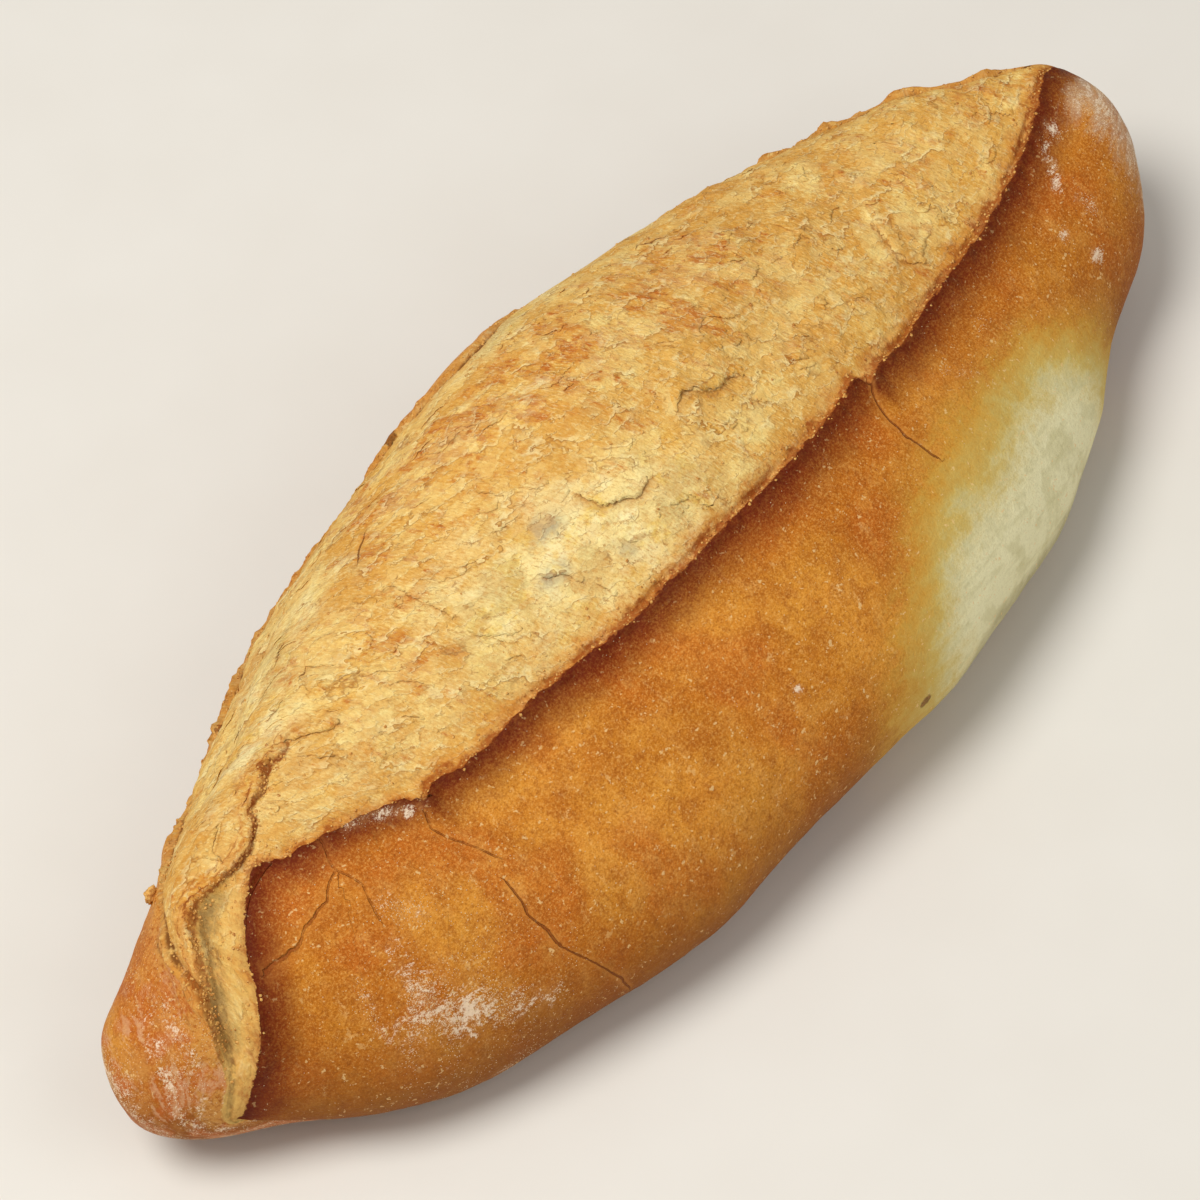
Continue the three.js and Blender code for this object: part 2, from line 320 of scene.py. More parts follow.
# %% [markdown]
# ## The ear, the rim and the ledge
# All three are added as heights over the smooth loaf: a soft bump that follows its line, steep on the
# torn side and long on the crust's side. A shadowed notch lies behind the ear and inside the rim. They
# could be sculpted, but as heights they follow the lines when a driving size changes.

# %% Heights of the ear, rim and ledge
EAR_HEIGHT, EAR_REACH, EAR_BACK = 1.4, 4.2, 0.5
NOTCH_DEPTH, NOTCH_PLACE, NOTCH_REACH = 1.0, 0.9, 0.8
RIM_HEIGHT, RIM_REACH, RIM_BACK, RIM_SCALLOP = 1.4, 4.0, 0.9, 1.2
RIM_NOTCH_DEPTH, RIM_NOTCH_PLACE, RIM_NOTCH_REACH = 1.3, 1.8, 1.3
LEDGE_HEIGHT, LEDGE_STEP, LEDGE_REACH = 1.9, 0.9, 8.0
LAYER_HEIGHT, LAYER_REACH = 0.5, 7.0
FURROW_DEPTH, FURROW_PLACE, FURROW_REACH = 2.7, 2.9, 2.1


def ear_height():
    lip = EAR_HEIGHT * (0.8 + 0.35 * rough(along, 0 * along, 5, 14) + 0.3 * rough(along, from_ear, 1.7, 19, 2))
    broken = open_slit * np.clip(0.7 + 0.9 * rough(along, 0 * along, 9, 18, 2), 0, 1.3)
    broken = broken * (1 - ramp(-at, 0.72, 0.78))
    notch = NOTCH_DEPTH * bell(ragged_ear - NOTCH_PLACE, NOTCH_REACH) * broken
    inner = lip * bell(ragged_ear, EAR_BACK) - notch
    return np.where(ragged_ear <= 0, lip * bell(ragged_ear, EAR_REACH), inner)


def rim_height():
    uneven = 0.5 + 0.35 * np.sin(along / 7 + 1.2 * np.sin(along / 19)) + 0.5 * rough(along, from_ear, 3, 23, 2)
    lower_middle = 1 - 0.5 * ramp(along, -10, 10) * (1 - ramp(along, 60, 80))
    scallops = RIM_SCALLOP * ramp(at, 0.6, 0.7) * bell(np.sin(along / 4.6), 0.5)
    crest = RIM_HEIGHT * uneven * lower_middle + scallops
    notch = RIM_NOTCH_DEPTH * bell(ragged_rim + RIM_NOTCH_PLACE, RIM_NOTCH_REACH)
    inner = crest * bell(ragged_rim, RIM_BACK) - notch
    return np.where(ragged_rim >= 0, crest * bell(ragged_rim, RIM_REACH), inner) * open_slit


def ledge_height():
    ledge = LEDGE_HEIGHT * ramp(-at, 0.58, 0.66) * ramp(from_ledge, 0, LEDGE_STEP)
    ledge = ledge * bell(np.maximum(from_ledge - LEDGE_STEP, 0), LEDGE_REACH)
    layers = LAYER_HEIGHT * rough(from_ledge, along * 0.25, 1.5, 17, 2) * ramp(-at, 0.6, 0.7)
    layers = layers * ramp(from_ledge, 0, 1) * bell(from_ledge, LAYER_REACH)
    furrow = ramp(-at, 0.78, 0.87) * (1 - ramp(-at, 0.965, 0.992)) * bell(from_ledge + FURROW_PLACE, FURROW_REACH)
    return np.where(torn, ledge + layers - FURROW_DEPTH * furrow, 0)


border_heights = {"ear": ear_height(), "rim": rim_height(), "ledge": ledge_height()}
print("highest, mm:", {name: round(float(height.max()), 2) for name, height in border_heights.items()})

# %% [markdown]
# ## Lines on the surface
# Sheet edges and cracks are both lines drawn on the crust: points in millimetres along the loaf and from
# the ear, each with a strength. One helper measures the signed distance from every mesh point to the
# nearest of such lines, positive on a line's left hand, and a strength that fades out past its ends.

# %% Signed distance to lines
def to_lines(lines, wander, seed, fade=1.6):
    """The signed distance to the nearest line, and how strongly that line shows."""
    nearest = np.full(along.shape, 1e9)
    signed, past, strength = np.full(along.shape, 99.0), np.full(along.shape, 99.0), np.zeros(along.shape)
    px = along + wander * rough(along, from_ear, 4.5, seed)
    py = from_ear + wander * rough(along, from_ear, 4.5, seed + 3)
    for weight, line in lines:
        for n, ((ax, ay), (bx, by)) in enumerate(zip(line, line[1:])):
            length = math.hypot(bx - ax, by - ay)
            dx, dy = (bx - ax) / length, (by - ay) / length
            raw = (px - ax) * dx + (py - ay) * dy
            walk = np.clip(raw, 0, length)
            off = np.hypot(px - ax - walk * dx, py - ay - walk * dy)
            side = np.sign((py - ay) * dx - (px - ax) * dy)
            before = -raw if n == 0 else 0 * raw
            after = raw - length if n == len(line) - 2 else 0 * raw
            take = off < nearest
            nearest = np.where(take, off, nearest)
            signed = np.where(take, off * side, signed)
            past = np.where(take, np.maximum(np.maximum(before, after), 0), past)
            strength = np.where(take, weight, strength)
    return signed, strength * (1 - ramp(past, 0, fade))


print("line helper ready for", along.size, "points")

# %% [markdown]
# ## Torn sheets of the bloom
# The bloom is crumb that tore in thin sheets. Each sheet hangs on at one side and ends in a free,
# scalloped edge with a thin dark gap below it. They could be sculpted one by one, but a line per edge is
# enough: each large one is drawn where it lies, with the sheet on the line's left hand, and the signed
# distance to it gives the step. Fine fibres run across the slit, a little slanted.

# %% Sheet edges
SHEET_EDGES = [
    (1.0, [(-20, 25), (-19, 22.6), (-18.5, 20.3), (-16, 18.8), (-13.5, 17.3), (-11, 17), (-8.5, 17.6)]),
    (0.9, [(8.5, 23.4), (9.9, 24.3), (10.8, 25), (14, 24.9), (16.2, 23.1), (20.4, 20.5), (23.4, 21.2), (28.6, 19.2)]),
    (0.6, [(-58.7, 40.7), (-56.4, 38.9), (-56.6, 35.3), (-56.3, 30.7), (-56, 26.2), (-55.8, 23.8)]),
    (0.35, [(-56.9, 19.2), (-54.6, 16.1), (-52, 13.1), (-49.5, 11.6)]),
    (0.35, [(-75.3, 21.4), (-73, 19.7), (-71.3, 17.4), (-70.3, 14.3)]),
    (0.5, [(-30.4, 43.9), (-30.3, 40.6), (-29.9, 36.5)]),
    (0.3, [(-28, 61), (-26.7, 56.7), (-22, 56.8), (-20.5, 55.4)]),
    (0.4, [(-38.4, 18.9), (-36, 16.8), (-34, 13.9), (-32.9, 11.4)]),
    (0.35, [(-31.6, 9.1), (-30.3, 6.6), (-30.3, 4.6)]),
    (0.3, [(-46.3, 32.3), (-44.5, 30.1), (-43, 29.9)]),
    (0.35, [(-21.2, 12.7), (-19.3, 9.7)]),
    (0.4, [(-56.3, 9.5), (-54.5, 8.5), (-53.2, 6.9)]),
    (0.45, [(-4.3, 9.6), (-3.8, 6.4), (-3.2, 4.2)]),
    (0.4, [(25.5, 13.8), (27.1, 10.9)]),
    (0.9, [(86, 17), (84.1, 11.9), (83.2, 9.1), (83.6, 6.5), (86.9, 3)]),
    (0.5, [(69.7, 35.1), (69.7, 30.3), (71.5, 25.7)]),
    (0.4, [(64.5, 14.1), (61.8, 9.9)]),
    (0.4, [(44.4, 16.7), (47.2, 13.3)]),
    (0.4, [(19.3, 36.9), (22.4, 33.7)]),
    (0.4, [(72, 22.1), (74.7, 19.5)]),
    (0.4, [(129.4, 12.6), (137.2, 3.3)]),
    (0.3, [(103.5, 37), (102, 30.7)]),
    (0.3, [(101.7, 22.2), (103.1, 18.5)]),
    (0.4, [(-85.5, 31.8), (-83.5, 36.9), (-80.2, 40), (-79.2, 37.3), (-77.8, 33.4)]),
    (0.5, [(-81.8, 50.3), (-79.1, 50.5), (-75.4, 54.1)]),
    (0.6, [(-125, 8.4), (-124.6, 10.5), (-121.8, 12.9), (-118.7, 15.1)]),
    (0.7, [(-98.9, 26.3), (-95.9, 25.4), (-94.2, 23.7), (-91.8, 22.1), (-88, 20.8)]),
]
FIBRE_SLANT = 0.25
SHEET_LIFT, SHEET_REACH = 0.3, 5.5
GAP_DEPTH, GAP_REACH = 0.3, 0.9

fibre_along = along + FIBRE_SLANT * from_ear
sheet_edge, sheet_shown = to_lines(SHEET_EDGES, 0.7, 81, 2.2)
over_sheet = np.maximum(sheet_edge, 0)
lifted = SHEET_LIFT * ramp(over_sheet, 0, 0.4) * bell(over_sheet, SHEET_REACH)
sheet_height = np.where(sheet_edge > 0, lifted, -GAP_DEPTH * bell(sheet_edge, GAP_REACH)) * sheet_shown
print("drawn sheet edges:", len(SHEET_EDGES))

# %% [markdown]
# Between the drawn sheets a saw-tooth wave over the distance from the ear adds fainter steps, and soft
# patches bend, break and hide those. Slow waves, lumps and fine fibres lie under them all.

# %% Faint steps, waves and fibres
def faint_steps(spacing, bend, seed):
    """The height of each step, and a share for the painted shadow in the narrow gap at its foot."""
    phase = from_ear / spacing + bend * rough(along, from_ear * 0.8, 13, seed)
    phase = phase + 0.3 * rough(along, from_ear, 4, seed + 5, 2)
    into = phase - np.floor(phase)
    shown = np.clip(0.1 + 1.2 * rough(along, from_ear, 10, seed + 9, 2), 0, 1)
    return (1 - into) * ramp(into, 0, 0.08) * shown, bell(1 - into, 0.1) * shown


big_step, big_foot_shadow = faint_steps(8.5, 1.3, 21)
small_step, small_foot_shadow = faint_steps(3.8, 1.1, 33)
fibres = rough(fibre_along, from_ear * 0.25, 1.7, 41, 2)
lumps = rough(along, from_ear, 6.5, 44, 3)
waves = 0.45 * np.sin(along / 9.5 + 1.6 * np.sin(from_ear / 15 + 0.4))
waves = waves * np.sin(from_ear / 8 + 1.2 * np.sin(along / 21))
waves = waves + 0.35 * np.sin(from_ear / 5.1 + 1.4 * np.sin(along / 12 + 0.5) + along / 31)
torn_relief = waves + 0.5 * big_step + 0.3 * small_step + 0.2 * fibres + 0.3 * lumps - 0.15
room = np.clip(from_ear / 5, 0, 1) * np.clip(-from_rim / 5, 0, 1) * torn
torn_height = room * torn_relief + sheet_height * (torn & (from_ear > 2))
# Where a painted shadow darkens the gap at the foot of each faint step.
sheet_gap = room * np.clip(0.8 * big_foot_shadow + 0.6 * small_foot_shadow, 0, 1)
print("torn sheets, mm:", torn_height.min().round(2), "to", torn_height.max().round(2))

# %% [markdown]
# ## Cracks
# The crust split in a few thin cracks as it cooled: two long ones run from breaks in the ear down the
# near side, others meet near the slit's corner, and short ones cross the bloom. Cutting them with a
# Boolean would spoil the even mesh. So the mesh gets a shallow groove, and the stored distance lets the
# finish draw the crack itself as a much finer line.

# %% Crack lines
CRACKS = [
    (1.0, [(49.4, -2.2), (46.9, -5.4), (44.8, -9.6), (43.6, -15.7), (45.2, -23.4)]),
    (0.45, [(-92.5, -9), (-94, -13), (-92, -20), (-89, -27)]),
    (1.0, [(-92, -35), (-93, -44), (-92, -55), (-88, -62), (-82, -74)]),
    (0.55, [(-113, -12), (-119, -15), (-128, -11), (-136, -3)]),
    (0.4, [(-110, -4), (-113, -12), (-112.6, -19), (-115, -26)]),
    (0.9, [(-48, 57.5), (-51, 55.5), (-54, 52)]),
    (0.9, [(49.2, 59.1), (53.3, 56.3)]),
    (0.9, [(-97.5, 64.5), (-94.4, 67.9), (-88.4, 72.2)]),
]
CRACK_DEPTH, CRACK_REACH = 0.2, 0.7
CRACK_LIP, CRACK_LIP_PLACE, CRACK_LIP_REACH = 0.12, 1.8, 1.0

crack, crack_shown = to_lines(CRACKS, 0.45, 51, 3.0)
crack_lip = CRACK_LIP * bell(np.abs(crack) - CRACK_LIP_PLACE, CRACK_LIP_REACH)
crack_height = (-CRACK_DEPTH * bell(crack, CRACK_REACH) + crack_lip) * crack_shown
print("points within 1 mm of a crack:", int(((np.abs(crack) < 1) & (crack_shown > 0.5)).sum()))

# %% [markdown]
# ## The loaf as one mesh
# All heights are laid over the smooth loaf along its outward direction. The rings become quads, and
# each tip is closed by a fan of triangles around one point, so the crust is a single closed skin.

# %% Build the loaf
SKIN_FADE = 14.0

skin_height = 0.35 * np.sin(along / 14 + 1) * np.sin(from_ear / 11 + 0.4)
skin_height = skin_height + 0.30 * np.sin(along / 23 - from_ear / 19) + 0.10 * rough(along, from_ear, 5, 61)
skin_share = np.clip(-from_ear / SKIN_FADE, 0, 1) + np.clip(from_rim / SKIN_FADE, 0, 1)
bulge = sum(push * bell(np.linalg.norm(smooth - (x, y, z), axis=-1), reach) for x, y, z, reach, push in BULGES)
heights = sum(border_heights.values()) + torn_height + crack_height + skin_height * skin_share
heights = heights * ramp(1 - np.abs(at), 0.002, 0.03) + bulge
surface = (pushed(smooth, heights) + (CENTRE_SHIFT, 0, 0)) * MM


def flat_list(grid):
    """A grid's values in the order of the mesh's points: near tip, the rings between, far tip."""
    return np.concatenate([grid[:1, 0], grid[1:-1].reshape(-1, grid.shape[-1]), grid[-1:, 0]])


def smooth_mesh(name, points, faces):
    made = bpy.data.meshes.new(name)
    made.from_pydata(points.tolist(), [], [tuple(int(v) for v in face) for face in faces])
    made.update()
    made.shade_smooth()
    return made


def loaf_mesh():
    points = flat_list(surface)
    rings, around = surface.shape[0] - 2, surface.shape[1]
    column = np.arange(around)
    after = (column + 1) % around
    faces = [(0, 1 + a, 1 + b) for a, b in zip(column, after)]
    for ring in range(rings - 1):
        low, high = 1 + ring * around, 1 + (ring + 1) * around
        faces += zip(low + column, high + column, high + after, low + after)
    last = 1 + (rings - 1) * around
    faces += [(last + b, last + a, len(points) - 1) for a, b in zip(column, after)]
    return smooth_mesh("crust_and_crumb", points, faces)


mesh = loaf_mesh()
loaf = in_scene("loaf_crust", mesh)
mesh.calc_loop_triangles()
corners = np.array([[mesh.vertices[v].co for v in t.vertices] for t in mesh.loop_triangles])
volume = np.einsum("ij,ij->i", corners[:, 0], np.cross(corners[:, 1], corners[:, 2])).sum() / 6
print("loaf triangles:", len(mesh.loop_triangles), "volume, litres:", round(volume * 1000, 3))

# %% [markdown]
# ## What each place on the crust is
# The finish needs to know more than the mesh shows: how far a point is from the ear, the rim, the ledge
# and a crack, where flour lies, and where a neighbour loaf touched this one in the oven and kept the
# crust pale. These are worked out as shares from 0 to 1, first on the skin. A picture wrapped round the
# loaf could hold them too, but values at the points follow the surface without a seam.

# %% Pale patch, flour and nicks on the skin
def near_line(line, reach):
    nearest = np.full(along.shape, 1e9)
    for (ax, ay), (bx, by) in zip(line, line[1:]):
        dx, dy = bx - ax, by - ay
        walk = np.clip(((along - ax) * dx + (from_ear - ay) * dy) / (dx * dx + dy * dy), 0, 1)
        nearest = np.minimum(nearest, np.hypot(along - ax - walk * dx, from_ear - ay - walk * dy))
    return bell(nearest, reach)


def near_spot(x, g, reach_along, reach_across):
    return bell(np.hypot((along - x) / reach_along, (from_ear - g) / reach_across), 1.0)

kiss_middle = np.interp(along, [0, 10, 30, 50, 80, 110, 125], [-66, -61, -57, -55, -50, -47, -45])
kiss_across = from_ear - kiss_middle + 2.0 * rough(along, from_ear, 18, 71, 2)
kiss_width = np.where(kiss_across > 0, np.interp(along, [0, 30, 55, 80, 115], [13, 17.5, 19, 16.5, 10]), 19)
kiss = (1 - ramp(np.abs(kiss_across) / kiss_width, 0.0, 2.5)) * ramp(along, -22, 36) * (1 - ramp(along, 80, 128))
# The lower side of the pale patch, where a painted shade greys it as it turns away from the light.
kiss_low = kiss * ramp(-kiss_across, 1.5, 11)
FLOUR_LINES = [
    ([(-118, -31), (-119.5, -36), (-118, -43), (-116, -48), (-113, -52)], 3.0, 0.8),
    ([(-113, -51), (-108, -59), (-102.5, -63.5), (-98, -66)], 3.4, 0.68),
    ([(-127, -24), (-128.5, -27), (-126.5, -32), (-122, -38)], 2.0, 0.6),
    ([(-112, -25), (-109, -31)], 2.2, 0.7),
    ([(-104, -3.5), (-97, -4.5), (-93, -7)], 2.4, 1.1),
    ([(-150, -52), (-128, -70), (-108, -80)], 7.0, 0.45),
    ([(122.5, -27), (123.2, -28)], 1.8, 2.0),
    ([(119, -18), (120, -18.5)], 1.6, 1.7),
    ([(130, -17), (131, -21)], 1.8, 1.2),
    ([(140, -7), (139, -5)], 1.8, 1.6),
    ([(133.5, -6), (131, -9), (128, -11)], 2.2, 1.3),
    ([(-19, -35.5), (-18.6, -36)], 1.0, 2.0),
    ([(66, -14), (78, -30)], 2.0, 0.5),
    ([(84, -14), (90, -24)], 2.0, 0.45),
]
flour = sum(weight * near_line(line, reach) for line, reach, weight in FLOUR_LINES)
flour = flour + 0.35 * near_spot(-112, -50, 26, 30) + 1.1 * ramp(at, 0.88, 0.97) * ramp(-from_ear, 3, 9)
knob = ramp(-at, 0.82, 0.95) * (from_ear > rim_place - 2)
flour = np.clip(flour + knob * (0.5 + 0.6 * rough(from_rim, along * 0.3, 5, 91, 2)), 0, 1.6)
nick = np.clip(near_spot(6.4, -61.4, 2.2, 1.6) + near_spot(-20.5, 83.0, 2.0, 1.3), 0, 1)
print("points in the pale patch:", int((kiss > 0.5).sum()), "with much flour:", int((flour > 0.5).sum()))

# %% [markdown]
# The bloom is paler along its middle, where it opened last, and toasted where it stood highest. A few
# spots stayed grey.

# %% Pale, toasted and grey places in the bloom
PALE_LINES = [
    ([(-50, 18), (-30, 20), (-10, 13)], 14, 1.0),
    ([(-112, 14), (-84, 12)], 8, 0.3),
    ([(-104, 30), (-86, 49), (-68, 60)], 9, 0.8),
]
TOAST_LINES = [
    ([(92, 25), (140, 12)], 14, 0.35),
    ([(-85, 20), (-68, 25)], 9, 0.25),
    ([(-34, 62), (-8, 52), (26, 46), (48, 40)], 17, 0.9),
    ([(-80, 50), (-62, 44)], 12, 0.6),
    ([(-72, 30), (-60, 8)], 7, 0.5),
]
rim_band = ramp(along, -14, 0) * (1 - ramp(along, 52, 70)) * bell(ragged_rim + 7, 4)
pale = np.clip(0.9 * rim_band + sum(weight * near_line(line, reach) for line, reach, weight in PALE_LINES), 0, 1)
toast = sum(weight * near_line(line, reach) for line, reach, weight in TOAST_LINES)
toast = np.clip(toast + 0.5 * near_spot(-8, 8, 9, 7), 0, 1)
grey = near_spot(-29.5, 25.5, 4.5, 3.5) + 0.8 * near_spot(-36, 16.5, 5, 3) + 0.6 * near_spot(-22, 10, 3, 3)
print("pale and toasted shares of the bloom:", pale[torn].mean().round(2), toast[torn].mean().round(2))

# %% [markdown]
# All of these are now stored as named values at the mesh's points, where a finish can read them:
# distances in millimetres, the rest as shares.

# %% Values stored at the points
stored = {
    "ear": ragged_ear, "rim": ragged_rim, "ledge": from_ledge,
    "along": along, "from_ear": from_ear, "fibre_along": fibre_along,
    "near_end": ramp(-at, 0.56, 0.64), "tip_end": ramp(-at, 0.76, 0.82),
    "furrow": ramp(-along, 126, 134) * (1 - 0.6 * ramp(-along, 146, 152)),
    "crack": crack, "crack_shown": crack_shown,
    "sheet_edge": sheet_edge, "sheet_shown": sheet_shown * (from_ear > 1.5), "sheet_gap": sheet_gap,
    "kiss": kiss, "kiss_low": kiss_low, "flour": flour, "knob": knob, "nick": nick,
    "far_tip": ramp(at, 0.84, 0.98) * ramp(-from_ear, 2, 8),
    "pale": pale, "toast": toast, "grey": np.clip(grey, 0, 1),
}


def store(mesh, name, values):
    """Keeps one number, or one direction, for each point of a mesh."""
    kind, key = ("FLOAT", "value") if values.shape[-1] == 1 else ("FLOAT_VECTOR", "vector")
    layer = mesh.attributes.new(name, kind, "POINT")
    layer.data.foreach_set(key, np.ascontiguousarray(values, np.float32).ravel())


def on_grid(grid):
    """A grid's numbers as one column in the mesh's order."""
    return flat_list(np.broadcast_to(grid, along.shape)[..., None])


for name, grid in stored.items():
    store(mesh, name, on_grid(grid))
print("stored at each point:", ", ".join(stored))

# %% [markdown]
# ## A small kit for finishes
# A finish is a network of nodes. Wiring hundreds of them by hand hides the idea, so a wire is wrapped in
# a class that understands + - * /, and one method adds any other node. Colours go through Mix nodes.

# %% Wires
class Wire:
    """One output of a shader node. Sums on wires add Math nodes."""

    def __init__(self, finish, socket):
        self.finish, self.socket = finish, socket

    def maths(self, operation, *values):
        return self.finish.node("ShaderNodeMath", {"operation": operation}, dict(enumerate(values)))

    def __add__(self, other):
        return self.maths("ADD", self, other)

    def __sub__(self, other):
        return self.maths("SUBTRACT", self, other)

    def __rsub__(self, other):
        return self.maths("SUBTRACT", other, self)

    def __mul__(self, other):
        return self.maths("MULTIPLY", self, other)

    def __truediv__(self, other):
        return self.maths("DIVIDE", self, other)

    def __abs__(self):
        return self.maths("ABSOLUTE", self)

    __radd__, __rmul__ = __add__, __mul__

    def beside(self, output):
        """Another output of the same node."""
        return Wire(self.finish, self.socket.node.outputs[output])

    def rises(self, start, end):
        ends = {"Value": self, "From Min": start, "From Max": end}
        return self.finish.node("ShaderNodeMapRange", {"interpolation_type": "SMOOTHSTEP"}, ends)


print("a wire understands + - * / and abs, and rises smoothly between two values")

# %% [markdown]
# One function adds a node of any kind, here for finishes and later for the tree that scatters crumbs.
# Colours are given from 0 to 255, and shaders want them in linear light, so `tone` turns them.

# %% Nodes and tones
def add_node(tree, kind, settings=None, inputs=None):
    """Adds a node, sets it up, and gives its sockets values or links."""
    node = tree.nodes.new(kind)
    for name, value in (settings or {}).items():
        setattr(node, name, value)
    for key, value in (inputs or {}).items():
        named = (s for s in node.inputs if s.name == key and s.enabled)
        socket = node.inputs[key] if isinstance(key, int) else next(named)
        if isinstance(value, bpy.types.NodeSocket):
            tree.links.new(value, socket)
        else:
            socket.default_value = value
    return node


def tone(red, green, blue):
    """A colour given from 0 to 255, as the linear colour that a shader takes."""
    shares = [c / 255 for c in (red, green, blue)]
    return (*[((c + 0.055) / 1.055) ** 2.4 if c > 0.04 else c / 12.92 for c in shares], 1.0)


print("mid grey is", round(tone(128, 128, 128)[0], 3), "in linear light")

# %% [markdown]
# A finish also knows how to lay coats over a colour, as a painter does: each coat is a mask and a tone.

# %% Finishes
class Finish:
    """A material being built: it adds nodes, sets them up and joins their sockets."""

    def __init__(self, name):
        self.material = bpy.data.materials.new(name)
        self.material.use_nodes = True
        self.tree = self.material.node_tree
        self.tree.nodes.clear()

    def node(self, kind, settings=None, inputs=None, output=None):
        given = {key: value.socket if isinstance(value, Wire) else value for key, value in (inputs or {}).items()}
        node = add_node(self.tree, kind, settings, given)
        outputs = [s for s in node.outputs if s.enabled and output in (None, s.name)]
        return Wire(self, outputs[0]) if outputs else None

    def place(self):
        coordinates = self.node("ShaderNodeTexCoord", output="Object")
        return self.node("ShaderNodeVectorMath", {"operation": "SCALE"}, {"Vector": coordinates, "Scale": 1 / MM})

    def value(self, name):
        return self.node("ShaderNodeAttribute", {"attribute_name": name}, output="Fac")

    def vector(self, x, y, z=0.0):
        return self.node("ShaderNodeCombineXYZ", inputs={"X": x, "Y": y, "Z": z})

    def noise(self, where, size, detail=2.0, roughness=0.5):
        settings = {"Vector": where, "Scale": 1 / size, "Detail": detail, "Roughness": roughness}
        return self.node("ShaderNodeTexNoise", inputs=settings)

    def blend(self, share, first, second):
        return self.node("ShaderNodeMix", {"data_type": "RGBA"}, {"Factor": share, "A": first, "B": second})

    def coats(self, colour, *coats):
        """Lays coats over a colour, each the share of the surface it covers and its tone."""
        for share, rgb in coats:
            colour = self.blend(share, colour, tone(*rgb))
        return colour

    def bump(self, relief, depth, strength=1.0):
        return self.node("ShaderNodeBump", inputs={"Strength": strength, "Distance": depth * MM, "Height": relief})

    def shader(self, colour, roughness, gloss, normal=None):
        inputs = {"Base Color": colour, "Roughness": roughness, "Specular IOR Level": gloss}
        return self.node("ShaderNodeBsdfPrincipled", inputs=inputs | ({"Normal": normal} if normal else {}))

    def close(self, surface):
        self.node("ShaderNodeOutputMaterial", inputs={"Surface": surface})
        return self.material


print("a finish can:", ", ".join(name for name in vars(Finish) if not name.startswith("_")))

# %% [markdown]
# ## The crust and crumb finish
# One finish covers the whole loaf, because the crust isn't a separate part: it is the same dough, baked
# further. The skin is orange-brown and slightly glossy, darkest just below the ear, where it lifted into
# the heat. The torn bloom is matt straw with toasted patches, fine fibres and painted shadow in the gaps
# under its sheets. Baked dough is mottled at every size, so a row of noises, from half a millimetre to
# three centimetres, is made first and shared by everything that follows.

# %% Shared noises and stored values
crust = Finish("stone_baked_crust")
place = crust.place()
sides = crust.node("ShaderNodeSeparateXYZ", inputs={"Vector": place}, output="X")
across, height = sides.beside("Y"), sides.beside("Z")
ear, rim = crust.value("ear"), crust.value("rim")
along_mm, fibre_along_mm, from_ear_mm = crust.value("along"), crust.value("fibre_along"), crust.value("from_ear")
NOISES = {  # size in mm, octaves, roughness
    "grit": (0.55, 5, 0.85), "fine": (0.9, 3, 0.7), "small": (1.9, 3, 0.6), "middling": (7, 3, 0.6),
    "blotch": (9, 3, 0.6), "glow": (20, 1, 0.5), "broad": (34, 2, 0.5),
}
grit, fine, small, middling, blotch, glow, broad = [crust.noise(place, *grain) for grain in NOISES.values()]
print("shared noises, mm:", {name: size for name, (size, _, _) in NOISES.items()})

# %% [markdown]
# The skin's ground is a soft change between two oranges. Redder and yellower patches, brushed strokes,
# pale rubbed scratches and fine grit lie over it. The flank darkens towards the floor, partly a browner
# bake and partly painted shade where the light falls off, and a dark band, darkest at its upper edge,
# follows the ear.

# %% Skin colours
stroke = crust.noise(crust.vector(sides / 4.0, across / 8.0, height / 8.0), 1.0, 3, 0.65)
scratch = crust.noise(crust.vector(along_mm / 1.5, from_ear_mm / 5, small), 1.0, 3, 0.7)
rubbed = blotch.rises(0.5, 0.6) * grit.rises(0.42, 0.56)
flecks = crust.noise(place, 2.6, 3, 0.75).rises(0.6, 0.66) * blotch.rises(0.5, 0.4)
# Darker towards the floor: partly a browner bake, partly painted shade where the light falls off.
low_bake_and_shade = (height + (middling - 0.5) * 18).rises(42, 8)
below_ear = (small - 0.5) * 2.4 - ear
band = (below_ear + (middling - 0.5) * 6).rises(12.0, 2.2) * ear.rises(4.0, 3.0)
rim_crumb = rim.rises(8.0, 2.0) * rim.rises(-1.0, 0.0)
skin = crust.coats(
    crust.blend(broad.rises(0.42, 0.58), tone(198, 114, 24), tone(222, 144, 46)),
    (glow.rises(0.48, 0.62) * 0.5, (192, 90, 18)),
    (glow.rises(0.46, 0.34) * 0.3, (216, 148, 44)),
    (blotch.rises(0.5, 0.64) * 0.3, (168, 88, 16)),
    (middling.rises(0.46, 0.64) * 0.4, (178, 96, 18)),
    (middling.rises(0.48, 0.32) * 0.35, (230, 160, 66)),
    (stroke.rises(0.54, 0.7) * 0.35, (228, 160, 76)),
    (stroke.rises(0.46, 0.32) * 0.35, (162, 84, 18)),
    (small.rises(0.5, 0.66) * 0.35, (158, 82, 16)),
    (fine.rises(0.5, 0.36) * 0.2, (142, 66, 10)),
    (grit.rises(0.49, 0.64) * 0.48, (242, 186, 100)),
    (grit.rises(0.5, 0.35) * 0.48, (120, 56, 6)),
    (scratch.rises(0.56, 0.68) * rubbed * 0.5, (236, 180, 108)),
    (flecks * 0.4, (244, 196, 124)),
    # Browner bake and painted shade towards the floor.
    (low_bake_and_shade * 0.8, (126, 68, 8)),
    (band * (grit.rises(0.62, 0.4) * 0.22 + 0.68), (108, 26, 0)),
    (below_ear.rises(4.5, 0.5) * band * (small.rises(0.35, 0.6) * 0.3 + 0.4), (78, 12, 0)),
    (rim_crumb * fine.rises(0.35, 0.6) * 0.6, (226, 168, 86)),
)
print("nodes so far:", len(crust.tree.nodes))
